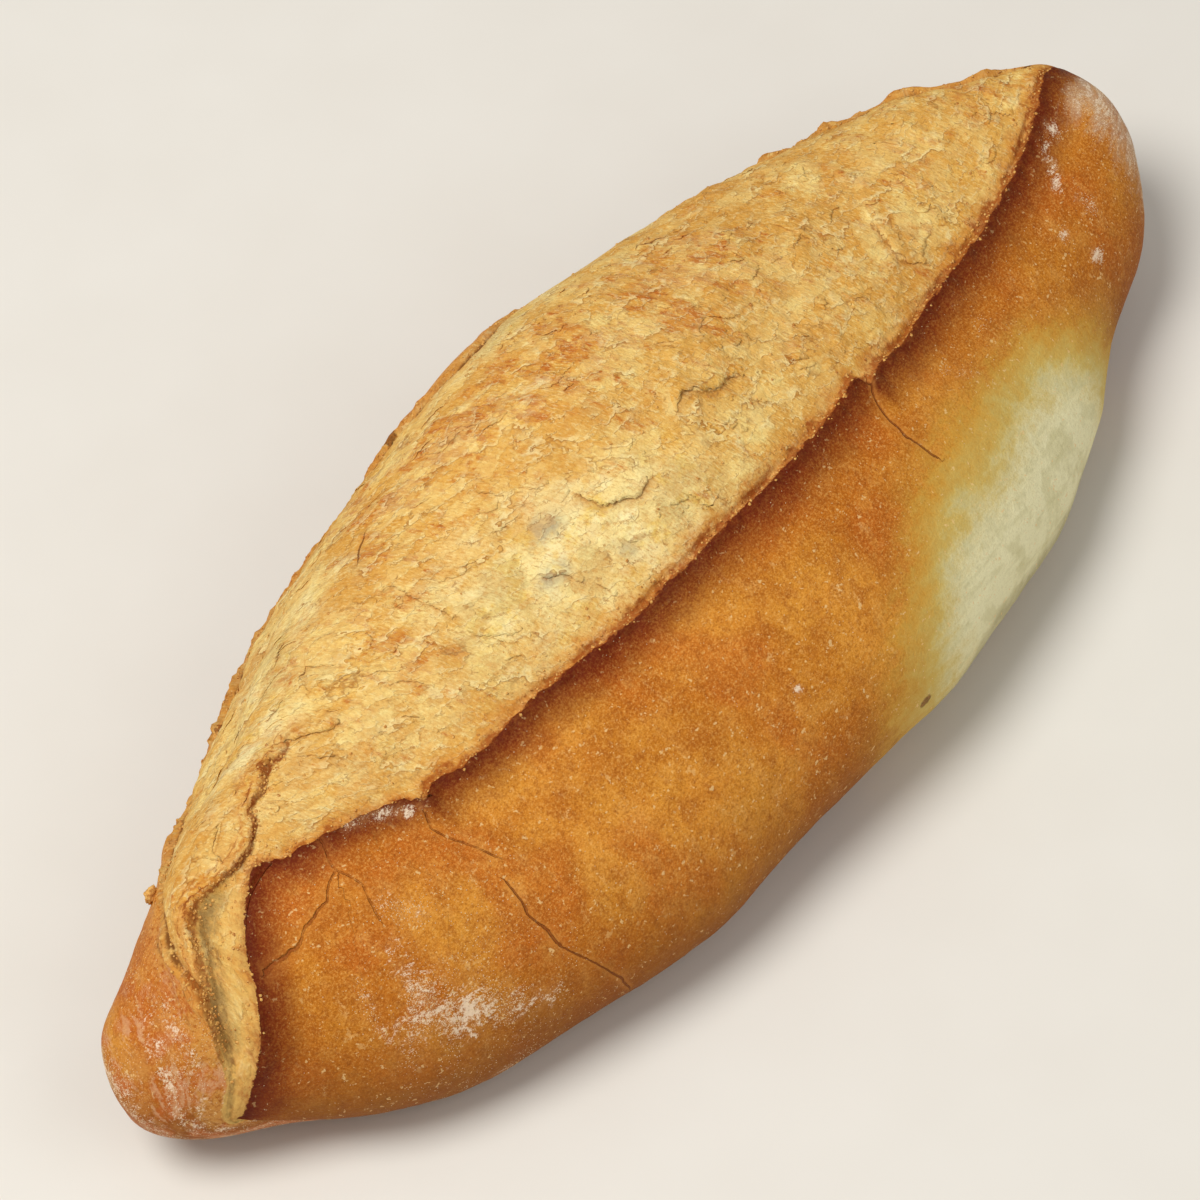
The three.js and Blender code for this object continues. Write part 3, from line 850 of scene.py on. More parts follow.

# %% [markdown]
# The patch where a neighbour touched runs from orange through olive to a greenish white, and a painted
# shade greys it towards the floor, where it turns away from the light. Its edge is broken by noises of
# several sizes, which fade out where there is no patch, so that they can't stain the skin elsewhere.

# %% Pale patch
kiss = crust.value("kiss")
long_streak = crust.noise(crust.vector(along_mm / 15, from_ear_mm / 3.2, small * 0.5), 1.0, 3, 0.6)
kiss_edge = (middling - 0.5) * 0.38 + (long_streak - 0.5) * 0.3 + (small - 0.5) * 0.25 + (grit - 0.5) * 0.35
kiss_share = kiss + kiss_edge * kiss.rises(0.0, 0.25)
core = kiss_share.rises(0.45, 0.8)
skin = crust.coats(
    skin,
    (kiss_share.rises(0.0, 0.34) * 0.75, (212, 162, 62)),
    (kiss_share.rises(0.2, 0.66) * 0.8, (212, 190, 106)),
    (kiss_share.rises(0.5, 0.95) * 0.85, (246, 240, 196)),
    (core * grit.rises(0.5, 0.36) * 0.22, (184, 172, 116)),
    (core * long_streak.rises(0.5, 0.66) * 0.32, (196, 184, 124)),
    (core * middling.rises(0.5, 0.62) * 0.3, (188, 176, 116)),
    # Painted shade on the pale patch's lower side.
    (crust.value("kiss_low").rises(0.1, 0.85) * (middling.rises(0.3, 0.6) * 0.3 + 0.4), (160, 148, 104)),
)
print("nodes so far:", len(crust.tree.nodes))

# %% [markdown]
# The knob at the near tip is redder, with pale strands in its wrinkles. Flour was brushed on by hand:
# a noise is stretched into strokes, bent by a slower one, and cut at a level that the stored flour share
# moves up and down. A thin veil of it greys the crust between the strokes, most of all at the far tip.

# %% Knob, specks and flour
knob_share, flour_share = crust.value("knob"), crust.value("flour")
wrinkle = crust.noise(crust.vector(rim / 1.3 + (small - 0.5) * 1.5, height / 7, sides / 9), 1.0, 3, 0.65)
pale_strands = (wrinkle + (blotch - 0.5) * 0.9 + (grit - 0.5) * 0.5).rises(0.5, 0.68)
specks = crust.noise(place, 1.5, 2, 0.75).rises(0.645, 0.7)
wisps, swirl = crust.noise(place, 4.0, 4, 0.8), crust.noise(place, 15, 1)
brushed = crust.noise(crust.vector(sides / 6 + swirl * 5, across / 2 + swirl * 9, height / 2), 1.0, 4, 0.7)
veil = (flour_share * wisps.rises(0.35, 0.65)).rises(0.0, 1.3) * 0.45
far_veil = (crust.value("far_tip") + (brushed - 0.5) * 1.6 + (grit - 0.5) * 0.6).rises(0.35, 1.2)
strokes = (flour_share * 0.36 + (brushed - 0.5) * 1.8 + (grit - 0.5) * 1.8).rises(0.38, 0.64)
skin = crust.coats(
    skin,
    (knob_share * blotch.rises(0.46, 0.6) * 0.7, (192, 98, 38)),
    (knob_share * blotch.rises(0.5, 0.36) * 0.4, (204, 140, 70)),
    (knob_share * pale_strands * 0.42, (226, 186, 142)),
    (specks * (0.65 - band * 0.4), (240, 202, 138)),
    (veil * 0.6, (214, 158, 100)),
    (far_veil * 0.68, (208, 180, 150)),
    (strokes * flour_share.rises(0.1, 0.8) * 0.7, (255, 236, 206)),
)
print("nodes so far:", len(crust.tree.nodes))

# %% [markdown]
# The bloom's own colours come from patches of several sizes: straw with cream, golden and faintly grey
# patches, rust where it toasted, and hair-fine fibres that run across the slit, a little slanted. The
# stored pale and toasted shares make some of these coats stronger in their places.

# %% Bloom colours
hair = crust.noise(crust.vector(fibre_along_mm / 0.5, from_ear_mm / 1.5, small * 2), 1.0, 3, 0.65)
fibre = crust.noise(crust.vector(fibre_along_mm / 1.3, from_ear_mm / 3.8, small * 1.5), 1.0, 4, 0.65)
long_fibre = crust.noise(crust.vector(fibre_along_mm / 4.6, from_ear_mm / 9, small * 0.8), 1.0, 4, 0.72)
cream, golden = crust.noise(place, 10, 4, 0.6), crust.noise(place, 13.7, 4, 0.62)
dusky, pit_shade = crust.noise(place, 6.3, 4, 0.6), crust.noise(place, 1.2, 2, 0.7).rises(0.68, 0.74)
pale_share, toast_share, grey_share = crust.value("pale"), crust.value("toast"), crust.value("grey")
toasted = (long_fibre + toast_share * 0.13 - pale_share * 0.1).rises(0.53, 0.68)
rust_hair = (hair + (fibre - 0.5) * 0.8 + (toasted - 0.5) * 0.2).rises(0.56, 0.66)
rust_fibre = (fibre + toast_share * 0.08 + (toasted - 0.5) * 0.1).rises(0.56, 0.68)
bloom = crust.coats(
    crust.blend(broad.rises(0.38, 0.62), tone(226, 168, 78), tone(234, 182, 90)),
    (cream.rises(0.53, 0.65) * 0.65, (250, 220, 136)),
    (golden.rises(0.5, 0.62) * 0.6, (216, 154, 62)),
    (dusky.rises(0.55, 0.65) * 0.5, (208, 168, 106)),
    (pale_share * (cream + fibre * 0.5).rises(0.5, 0.8) * 0.8, (252, 232, 162)),
    (pale_share * dusky.rises(0.48, 0.38) * 0.65, (238, 196, 78)),
    (pale_share * golden.rises(0.5, 0.58) * 0.6, (204, 174, 106)),
    (pale_share * golden.rises(0.46, 0.38) * 0.6, (255, 244, 190)),
    (toasted * 0.7, (214, 138, 56)),
    (rust_hair * toasted * 0.6, (176, 88, 28)),
    (rust_fibre * (toasted * 0.6 + 0.12), (190, 100, 34)),
    (hair.rises(0.5, 0.32) * 0.55, (196, 126, 46)),
    (hair.rises(0.52, 0.68) * 0.55, (255, 232, 160)),
    (grit.rises(0.5, 0.36) * 0.35, (186, 118, 44)),
    (grey_share.rises(0.15, 0.8) * dusky.rises(0.3, 0.55) * 0.9, (178, 168, 134)),
    # Painted shade in small pits of the crumb.
    (pit_shade * 0.45, (132, 78, 30)),
)
print("nodes so far:", len(crust.tree.nodes))

# %% [markdown]
# Seen close, the crumb tore in scales that lie over each other like shingles. Voronoi cells, bent by
# noise, give the scales: each cell has its own tone, its upper side gets a painted shadow where the
# scale above overlaps it, and its lower side a painted highlight along its free edge. A noise shows only
# some of them.

# %% Overlapping scales
def scales(along_size, across_size, bend_size, shift):
    """How far up its cell a point lies, how far from the cell's border, and the cell's own number."""
    def bend(layer):
        return crust.noise(crust.vector(fibre_along_mm / bend_size, from_ear_mm / bend_size, layer), 1.0, 3, 0.65)

    bent_x, bent_y = bend(shift), bend(shift + 9.0)
    where = crust.vector(fibre_along_mm / along_size + bent_x * 1.8, from_ear_mm / across_size + bent_y * 1.8, 0.0)
    flat, inputs = {"voronoi_dimensions": "2D"}, {"Vector": where, "Scale": 1.0}
    cell = crust.node("ShaderNodeTexVoronoi", flat, inputs, "Position")
    border = crust.node("ShaderNodeTexVoronoi", flat | {"feature": "DISTANCE_TO_EDGE"}, inputs)
    from_middle = crust.node("ShaderNodeVectorMath", {"operation": "SUBTRACT"}, {0: where, 1: cell})
    slanted_up = {0: from_middle, 1: (0.3, 1.0, 0.0)}
    upper = crust.node("ShaderNodeVectorMath", {"operation": "DOT_PRODUCT"}, slanted_up, "Value")
    own = crust.node("ShaderNodeSeparateColor", inputs={"Color": cell.beside("Color")}, output="Red")
    return upper, border, own


def scale_coats(bloom, along_size, across_size, bend_size, shift, strength):
    """The bloom with one size of scales painted in, and the scales' relief."""
    upper, border, own = scales(along_size, across_size, bend_size, shift)
    seen = crust.noise(crust.vector(fibre_along_mm / along_size, from_ear_mm / across_size, shift * 3), 1.0, 2, 0.6)
    seen = seen.rises(0.47, 0.6)
    bloom = crust.coats(
        bloom,
        (own.rises(0.5, 0.95) * strength * 0.35, (252, 226, 146)),
        (own.rises(0.4, 0.05) * strength * 0.35, (214, 152, 68)),
        # A painted highlight along each scale's free edge, then a painted shadow under the scale above.
        (border.rises(0.2, 0.05) * upper.rises(0.0, -0.3) * seen * strength * 0.6, (255, 236, 172)),
        (border.rises(0.14, 0.02) * upper.rises(0.05, 0.3) * seen * strength * 0.75, (152, 88, 34)),
    )
    return bloom, (own * 0.4 - upper) * (seen * 0.7 + 0.3) * strength


bloom, large_scales = scale_coats(bloom, 11.0, 7.5, 6.0, 2.0, 0.8)
bloom, small_scales = scale_coats(bloom, 4.2, 2.8, 2.6, 5.0, 0.62)
relief = large_scales + small_scales
print("nodes so far:", len(crust.tree.nodes))

# %% [markdown]
# Thin sheets dry and brown first along their borders. So the bloom darkens in two steps to the ear, in a
# line that wanders by a centimetre, partly that browning and partly painted shade beside the ear, and
# again to the rim, where a painted shade darkens the notch just inside the edge.

# %% Borders of the bloom
# Darkening towards the ear: partly browned borders, partly painted shade beside the ear.
fringe_bake_and_shade = ear + (small - 0.5) * 3.0 + (dusky - 0.5) * 10.0
bloom = crust.coats(
    bloom,
    # Painted shadow in the gaps at the feet of the faint steps.
    (crust.value("sheet_gap").rises(0.3, 0.8) * fine.rises(0.35, 0.55) * 0.35, (156, 90, 36)),
    (fringe_bake_and_shade.rises(5.4, 1.6) * (fine.rises(0.3, 0.6) * 0.4 + 0.3), (206, 130, 50)),
    (fringe_bake_and_shade.rises(2.2, 0.7) * (fine.rises(0.3, 0.6) * 0.3 + 0.55), (158, 78, 26)),
    (rim.rises(-6.0, -0.8) * (small.rises(0.3, 0.6) * 0.5 + 0.2), (196, 126, 54)),
    # Painted shade in the notch just inside the rim.
    (rim.rises(-3.0, -2.0) * rim.rises(-0.6, -1.3) * small.rises(0.3, 0.5) * 0.8, (100, 52, 18)),
)
print("nodes so far:", len(crust.tree.nodes))

# %% [markdown]
# A drawn sheet's free edge is coloured from the stored distance: a painted highlight along its lip and a
# painted shadow in the gap below. At the near end the ledge of old crust is toasted in streaks, its foot
# gets a painted shade, and the furrow beside it a grey painted shade.

# %% Sheet edges, ledge and furrow
sheet_off, sheet_seen = crust.value("sheet_edge") + (fine - 0.5) * 1.2, crust.value("sheet_shown")
# The painted shadow line in the gap under a sheet's free edge.
gap_shadow_line = sheet_off.rises(-0.5, -0.15) * sheet_off.rises(0.2, -0.05)
gap_shadow_line = gap_shadow_line * (sheet_seen + (small - 0.5) * 1.8).rises(0.2, 0.7)
ledge, near_end = crust.value("ledge") + (small - 0.5) * 1.4 + (fine - 0.5) * 1.0, crust.value("near_end")
streaks = crust.noise(crust.vector(ledge / 0.9, along_mm / 6), 1.0, 3, 0.65)
ledge_band = ledge.rises(-0.6, 0.5) * ledge.rises(6.0, 1.0) * near_end
# Where a painted shade darkens the crevice at the ledge's foot.
ledge_foot_shade = ledge.rises(-0.8, -0.1) * ledge.rises(0.9, 0.1) * near_end
strip = ledge.rises(1.0, -1.0) * crust.value("tip_end")
# Where a grey painted shade fills the deep furrow beside the ledge.
furrow = (ledge + (middling - 0.5) * 5).rises(-5.6, -2.6) * ledge.rises(-0.2, -1.0) * crust.value("furrow")
bloom = crust.coats(
    bloom,
    # Painted highlight on the sheet's lip, painted shade below it, and the painted shadow line in the gap.
    (sheet_off.rises(-0.1, 0.5) * sheet_off.rises(3.5, 0.8) * sheet_seen * 0.5, (252, 224, 148)),
    (sheet_off.rises(-2.4, -0.3) * sheet_off.rises(0.2, -0.1) * sheet_seen * 0.4, (190, 124, 56)),
    (gap_shadow_line * sheet_seen.rises(0.02, 0.2) * 0.4, (150, 92, 34)),
    (ledge_band * streaks.rises(0.35, 0.62) * 0.75, (198, 116, 44)),
    (ledge_band * streaks.rises(0.53, 0.62) * 0.75, (138, 66, 20)),
    # Painted shade at the ledge's foot.
    (ledge_foot_shade * (small.rises(0.3, 0.6) * 0.5 + 0.4), (134, 62, 18)),
    (strip * (fibre.rises(0.62, 0.4) * 0.4 + 0.15), (230, 190, 106)),
    # Painted grey shade in the furrow, with darker specks of shade.
    (furrow * (small.rises(0.35, 0.6) * 0.4 + 0.35), (146, 116, 70)),
    (furrow * grit.rises(0.54, 0.64) * 0.6, (84, 62, 34)),
)
print("nodes so far:", len(crust.tree.nodes))

# %% [markdown]
# Cracks are fine dark lines with a slightly lighter lip, and two small nicks are burnt. The underside,
# which lay on the stone, is a duller brown with flour pressed into it. Skin and bloom meet along the
# ragged ear and rim. They could be mixed as colours in one shader, but as two shaders joined by a Mix
# Shader each keeps its own roughness and relief, and a render works out only the one that it meets.

# %% Cracks and stone side, then the whole finish
SKIN_ROUGHNESS, BLOOM_ROUGHNESS, CRUST_GLOSS, CRUST_BUMP = 0.58, 0.95, 0.12, 0.5

edge_wander = (small - 0.5) * 1.5 + (fine - 0.5) * 1.6
torn_share = (ear + edge_wander).rises(-0.1, 0.25) * (rim + edge_wander).rises(0.3, -0.1)
crack_off = abs(crust.value("crack") + (fine - 0.5) * 0.5)
crack_seen = crust.value("crack_shown")
crack_line = crack_off.rises(0.32, 0.08) * (crack_seen + (small - 0.5) * 0.9).rises(0.1, 0.75)
nick_share = (crust.value("nick") + (small - 0.5) * 0.7).rises(0.35, 0.6)
burnt = crust.blend(grit.rises(0.4, 0.6), tone(84, 38, 12), tone(150, 88, 30))
base = (height + (middling - 0.5) * 6).rises(7.0, 1.0)
pressed_flour = crust.noise(place, 2.4, 2, 0.7).rises(0.5, 0.7) * 0.6
stone_side = crust.blend(pressed_flour, tone(150, 96, 50), tone(200, 172, 134))


def crust_side(own_colour, roughness, own_relief):
    """The shader on one side of the ear: its own colours and relief, with cracks and nicks cut in."""
    cracked = crust.coats(
        own_colour,
        (crack_off.rises(1.6, 0.5) * crack_seen * 0.3, (214, 140, 62)),
        (crack_line * 0.7, (134, 58, 14)),
    )
    cut = own_relief - crack_line - nick_share * 0.6
    nicked = crust.blend(nick_share * 0.8, cracked, burnt)
    return crust.shader(nicked, roughness, CRUST_GLOSS, crust.bump(cut, CRUST_BUMP))


skin_relief = grit * 0.3 + fine * 0.3 + small * 0.5
bloom_relief = hair * 0.5 + fibre * 0.7 + fine * 0.4 + long_fibre * 0.5 + relief * 0.9
skin_shader = crust_side(crust.blend(base * 0.85, skin, stone_side), SKIN_ROUGHNESS, skin_relief)
bloom_shader = crust_side(bloom, BLOOM_ROUGHNESS, bloom_relief)
both_sides = crust.node("ShaderNodeMixShader", inputs={0: torn_share, 1: skin_shader, 2: bloom_shader})
loaf_finish = crust.close(both_sides)
mesh.materials.append(loaf_finish)
print("crust finish nodes:", len(crust.tree.nodes))

# %% [markdown]
# ## Curled sheets
# The free edges of the torn sheets stand off the bloom and cast thin shadows, which relief alone can't
# do. Each is a thin curved shell that grows out of the loaf and lifts towards its ragged edge. It could
# be cut from the loaf's own faces, but those are too coarse for a torn edge. So rows of points are laid
# over the loaf, each found from its place along the slit and from the ear, and given the loaf's values
# there, so that the one finish runs on over the sheets.

# %% Find places on the loaf
finder = KDTree(along.size)
for index, (x, g) in enumerate(zip(along.ravel().tolist(), from_ear.ravel().tolist())):
    finder.insert((x, g, 0), index)
finder.balance()
loaf_points, loaf_outward = surface.reshape(-1, 3), outward(surface).reshape(-1, 3)
loaf_values = np.stack([np.broadcast_to(grid, along.shape).ravel() for grid in stored.values()], 1)


def on_loaf(x, g):
    """The point, outward direction and stored values at a place along and across the slit."""
    found = finder.find_n((x, g, 0), 4)
    weights = np.array([1 / (0.05 + distance) for _, _, distance in found])
    weights /= weights.sum()
    index = [i for _, i, _ in found]
    return weights @ loaf_points[index], weights @ loaf_outward[index], weights @ loaf_values[index]


print("a place on the loaf, m:", on_loaf(0, 20)[0].round(4))

# %% [markdown]
# The large sheets follow the drawn edges. Small ones are short arcs at seeded random places on the
# bloom, all with their free edge towards the ear, as the dough tore.

# %% Where the small sheets lie
SMALL_SHEETS = 110
SMALL_ARC = ((-0.5, 0.6), (-0.2, 0.1), (0.2, 0.0), (0.5, 0.5))


def small_sheet_lines(dice):
    lines = []
    while len(lines) < SMALL_SHEETS:
        x, share = dice.uniform(-122, 136), dice.uniform(0.06, 0.94)
        g = share * float(between(np.array([x * 2 / SLIT_LENGTH]), SLICE_AT, RIM_FROM_EAR)[0])
        length, turn, bow = dice.uniform(2.2, 7.5), dice.normal(-0.35, 0.55), dice.uniform(-0.35, 0.5)
        if g < 3 or x < -95 and g < 16:
            continue
        ahead, aside = math.cos(turn), math.sin(turn)
        arc = [
            (x + s * length * ahead - b * bow * length * aside, g + s * length * aside + b * bow * length * ahead)
            for s, b in SMALL_ARC
        ]
        lines.append((dice.uniform(0.1, 0.6), arc))
    return lines


sheet_dice = np.random.default_rng(77)
sheet_lines = SHEET_EDGES + small_sheet_lines(sheet_dice)
print("sheets to build:", len(sheet_lines))

# %% [markdown]
# A sheet is a grid of rows. The first row is the free edge, lifted and a little ragged, and the last one
# lies just below the crumb. A second grid under it, a little lower, and a strip of faces round the two
# make it a closed shell. Solidify could thicken it too, but not thinner towards the free edge.

# %% One sheet
SHEET_ROWS, SHEET_STEP, SHEET_THICKNESS = 7, 0.5, 0.14
LONGEST_REACH = 7.0


def sheet(line, weight, dice):
    """Points, values and faces of one thin sheet whose free edge follows the line."""
    line = np.array(line, float)
    walked = np.concatenate([[0], np.cumsum(np.linalg.norm(np.diff(line, axis=0), axis=1))])
    count = max(5, int(walked[-1] / SHEET_STEP) + 1)
    s = np.linspace(0, walked[-1], count)
    edge = np.stack([np.interp(s, walked, line[:, 0]), np.interp(s, walked, line[:, 1])], 1)
    ahead = line[-1] - line[0]
    back = np.array([-ahead[1], ahead[0]]) / np.linalg.norm(ahead)
    taper = np.sin(np.pi * np.linspace(0.04, 0.96, count)) ** 0.55
    reach = min(LONGEST_REACH, 1.6 + 0.42 * walked[-1]) * taper
    bends = np.linspace(0, walked[-1], max(3, count // 3))
    ragged = dice.normal(0, 0.18, count)
    ragged = ragged + 0.4 * np.interp(s, bends, dice.normal(0, 1, len(bends)))
    uneven = 0.8 + 0.4 * np.interp(s, np.linspace(0, walked[-1], 4), dice.uniform(0, 1, 4))
    lift = (0.06 + 0.36 * weight) * taper * uneven
    top, under, values = [], [], []
    for row in range(SHEET_ROWS):
        w = row / (SHEET_ROWS - 1)
        for k in range(count):
            x, g = edge[k] + back * (w * reach[k] + ragged[k] * (1 - w) ** 2)
            point, normal, stored_here = on_loaf(x, g)
            rise = lift[k] * (1 - w) ** 1.3 + 0.06 * (1 - w) - 0.35 * w**2
            top.append(point + normal * rise * MM)
            under.append(point + normal * (rise - SHEET_THICKNESS * (0.55 + 1.2 * w)) * MM)
            values.append(stored_here)
    return np.array(top + under), np.array(values + values), shell_faces(count)


def shell_faces(count):
    grid = np.arange(SHEET_ROWS * count).reshape(SHEET_ROWS, count)
    quads = [
        (grid[r, k], grid[r, k + 1], grid[r + 1, k + 1], grid[r + 1, k])
        for r in range(SHEET_ROWS - 1) for k in range(count - 1)
    ]
    loop = [*grid[0, :], *grid[1:, -1], *grid[-1, -2::-1], *grid[-2:0:-1, 0]]
    size = grid.size
    border = [(b, a, a + size, b + size) for a, b in zip(loop, loop[1:] + loop[:1])]
    return quads + [tuple(size + v for v in quad[::-1]) for quad in quads] + border


print("rows in a sheet:", SHEET_ROWS, "mm between its points:", SHEET_STEP)

# %% [markdown]
# All sheets become one mesh. Its edges are real, so the stored line that paints such an edge's highlight
# and shadow on the loaf is set to nought on it.

# %% Build the sheets
def add_sheets():
    points, values, faces = [], [], []
    for weight, line in sheet_lines:
        start = sum(len(p) for p in points)
        new_points, new_values, new_faces = sheet(line, weight, sheet_dice)
        points.append(new_points)
        values.append(new_values)
        faces += [[start + v for v in face] for face in new_faces]
    sheets = smooth_mesh("torn_sheets", np.concatenate(points), faces)
    for name, column in zip(stored, np.concatenate(values).T):
        store(sheets, name, (0 * column if name == "sheet_shown" else column)[:, None])
    sheets.materials.append(loaf_finish)
    return in_scene("torn_sheets", sheets)


torn_sheets = add_sheets()
print("torn sheets:", len(sheet_lines), "faces:", len(torn_sheets.data.polygons))

# %% [markdown]
# ## Scattering with Geometry Nodes
# Loose scales on the bloom, toasted crumbs along the torn edges and grains of flour repeat in the
# thousands. Modelling each is hopeless, and a particle system is lost on export. So one node tree puts
# copies of a small shape on the loaf: a stored share says how dense they lie, each copy stands on the
# surface, faces the ear and turns by a random amount, and all copies are made real and given a finish.

# %% The scattering tree
SCATTER_INPUTS = {
    "Loaf": "Geometry", "Shape": "Object", "Where": "String", "Most per m2": "Float", "Smallest": "Float",
    "Largest": "Float", "Turn": "Float", "Seed": "Int", "Finish": "Material",
}


def scatter_tree():
    tree = bpy.data.node_groups.new("scatter_on_crust", "GeometryNodeTree")
    for name, kind in SCATTER_INPUTS.items():
        tree.interface.new_socket(name, in_out="INPUT", socket_type="NodeSocket" + kind)
    tree.interface.new_socket("Pieces", in_out="OUTPUT", socket_type="NodeSocketGeometry")
    given = tree.nodes.new("NodeGroupInput").outputs

    def first(kind, settings, inputs):
        return next(s for s in add_node(tree, kind, settings, inputs).outputs if s.enabled)

    def stored_value(name, kind):
        return first("GeometryNodeInputNamedAttribute", {"data_type": kind}, {"Name": name})

    def times(a, b):
        return first("ShaderNodeMath", {"operation": "MULTIPLY"}, {0: a, 1: b})

    def random_between(least, most):
        ends = {"Min": least, "Max": most, "Seed": given["Seed"]}
        return first("FunctionNodeRandomValue", {"data_type": "FLOAT"}, ends)

    density = times(stored_value(given["Where"], "FLOAT"), given["Most per m2"])
    spread = add_node(tree, "GeometryNodeDistributePointsOnFaces", {"distribute_method": "RANDOM"}, {
        "Mesh": given["Loaf"], "Density": density, "Seed": given["Seed"],
    }).outputs
    toward_ear = stored_value("toward_ear", "FLOAT_VECTOR")
    axes = {"primary_axis": "Z", "secondary_axis": "Y"}
    stand = first("FunctionNodeAxesToRotation", axes, {0: spread["Normal"], 1: toward_ear})
    angle = random_between(times(given["Turn"], -1.0), given["Turn"])
    spin = first("FunctionNodeEulerToRotation", {}, {0: first("ShaderNodeCombineXYZ", {}, {"Z": angle})})
    copies = first("GeometryNodeInstanceOnPoints", {}, {
        "Points": spread["Points"],
        "Instance": add_node(tree, "GeometryNodeObjectInfo", {}, {"Object": given["Shape"]}).outputs["Geometry"],
        "Rotation": first("FunctionNodeRotateRotation", {"rotation_space": "LOCAL"}, {0: stand, 1: spin}),
        "Scale": random_between(given["Smallest"], given["Largest"]),
    })
    real = first("GeometryNodeRealizeInstances", {}, {0: copies})
    done = first("GeometryNodeSetMaterial", {}, {"Geometry": real, "Material": given["Finish"]})
    add_node(tree, "NodeGroupOutput", {}, {0: done})
    return tree


scatter = scatter_tree()
print("scattering tree nodes:", len(scatter.nodes))

# %% [markdown]
# The tree needs three things on the loaf: which way the ear lies at every point, and how densely scales,
# crumbs and flour lie there. They are worked out from the same distances as the colours.

# %% Where the small things lie
toward_ear = flat_list(np.roll(surface, 1, 1) - np.roll(surface, -1, 1))
toward_ear /= np.maximum(np.linalg.norm(toward_ear, axis=1, keepdims=True), 1e-9)
store(mesh, "toward_ear", toward_ear)

inside_bloom = torn * ramp(ragged_ear, 1.5, 4) * ramp(-ragged_rim, 1, 4)
beside_ear = 0.45 * bell(ragged_ear - 0.4, 0.7) + 0.3 * torn * bell(ragged_ear - 2, 2)
beside_rim = 0.6 * bell(ragged_rim + 1.5, 1.8)
beside_ledge = ramp(-at, 0.6, 0.66) * torn * bell(from_ledge + 0.2, 1.3)
on_skin = (1 - torn) * ramp(surface[..., 2] / MM, 4, 12)
clumped = np.clip(flour, 0, 1.1) ** 1.5 * ramp(rough(along, from_ear, 4, 121, 3), -0.3, 0.6)
lying = {
    "scale_share": inside_bloom * np.clip(0.25 + 0.9 * rough(along, from_ear, 9, 111, 2), 0.03, 1),
    "crumb_share": open_slit * np.clip(beside_ear + beside_rim, 0, 1) + beside_ledge + 0.012 * torn,
    "flour_share": on_skin * np.clip(0.005 + clumped, 0, 1),
}
for name, grid in lying.items():
    store(mesh, name, on_grid(grid))
print("shares stored:", ", ".join(lying))

# %% [markdown]
# Each shape is 1 mm long or across and has few faces, because it is copied a thousand times or more: a
# scale is a thin curled leaf with its root in the crumb, a crumb is a dented ball and a grain of flour
# is a squashed double pyramid.

# %% The three small shapes
def shape_object(name, build):
    shape_mesh, work = bpy.data.meshes.new(name), bmesh.new()
    build(work)
    bmesh.ops.recalc_face_normals(work, faces=work.faces)
    work.to_mesh(shape_mesh)
    work.free()
    shape_mesh.shade_smooth()
    return in_scene(name, shape_mesh)


def scale_shape(work):
    width, length, thickness = [0.6, 1.05, 0.85, 0.25], [-0.45, -0.1, 0.3, 0.5], 0.045
    rows = []
    for side in (0, -1):
        for k, (wide, far) in enumerate(zip(width, length)):
            rise = -0.1 + 0.2 * (k / 3) ** 1.5 + side * thickness
            row = [(wide * 0.5 * a * MM, far * MM, (rise - 0.05 * a * a) * MM) for a in (-1, 0, 1)]
            rows.append([work.verts.new(corner) for corner in row])
    top, under = rows[:4], rows[4:]
    for layer, flip in ((top, 1), (under, -1)):
        for near, far in zip(layer, layer[1:]):
            for k in (0, 1):
                work.faces.new([near[k], near[k + 1], far[k + 1], far[k]][::flip])
    high, low = [[*r[0], r[1][2], r[2][2], *r[3][::-1], r[2][0], r[1][0]] for r in (top, under)]
    for k in range(len(high)):
        work.faces.new([high[k], low[k], low[(k + 1) % len(low)], high[(k + 1) % len(high)]])


def crumb_shape(work):
    bmesh.ops.create_icosphere(work, subdivisions=1, radius=0.5 * MM)
    dice = np.random.default_rng(5)
    for vertex in work.verts:
        vertex.co = vertex.co * float(dice.uniform(0.6, 1.25))
        vertex.co.z = vertex.co.z * 0.75


def grain_shape(work):
    tips = [work.verts.new((0, 0, z * MM)) for z in (0.3, -0.3)]
    ring = [work.verts.new((x * MM, y * MM, 0)) for x, y in ((0.5, 0), (0.05, 0.35), (-0.42, 0.05), (0, -0.45))]
    for k in range(4):
        work.faces.new((tips[0], ring[k], ring[(k + 1) % 4]))
        work.faces.new((tips[1], ring[(k + 1) % 4], ring[k]))


leaf = shape_object("leaf", scale_shape)
ball = shape_object("ball", crumb_shape)
pyramid = shape_object("pyramid", grain_shape)
print("faces per shape:", {shape.name: len(shape.data.polygons) for shape in (leaf, ball, pyramid)})

# %% [markdown]
# Crumbs are golden to tan, each in its own tone, and flour is warm white. Both are matt. Their colours
# come from noise larger than one crumb, so neighbours differ while one crumb stays even.

# %% Crumb and flour finishes
crumb_finish = Finish("toasted_crumbs")
crumb_place = crumb_finish.place()
own_tone, freckles = crumb_finish.noise(crumb_place, 1.3, 3, 0.7), crumb_finish.noise(crumb_place, 0.25, 2)
crumb_colour = crumb_finish.coats(
    crumb_finish.blend(own_tone.rises(0.35, 0.65), tone(230, 176, 94), tone(178, 112, 48)),
    (freckles.rises(0.5, 0.7) * 0.5, (250, 220, 150)),
)
crumb_bump = crumb_finish.bump(freckles, 0.1, 0.6)
crumbs_matt = crumb_finish.close(crumb_finish.shader(crumb_colour, 0.95, 0.1, crumb_bump))

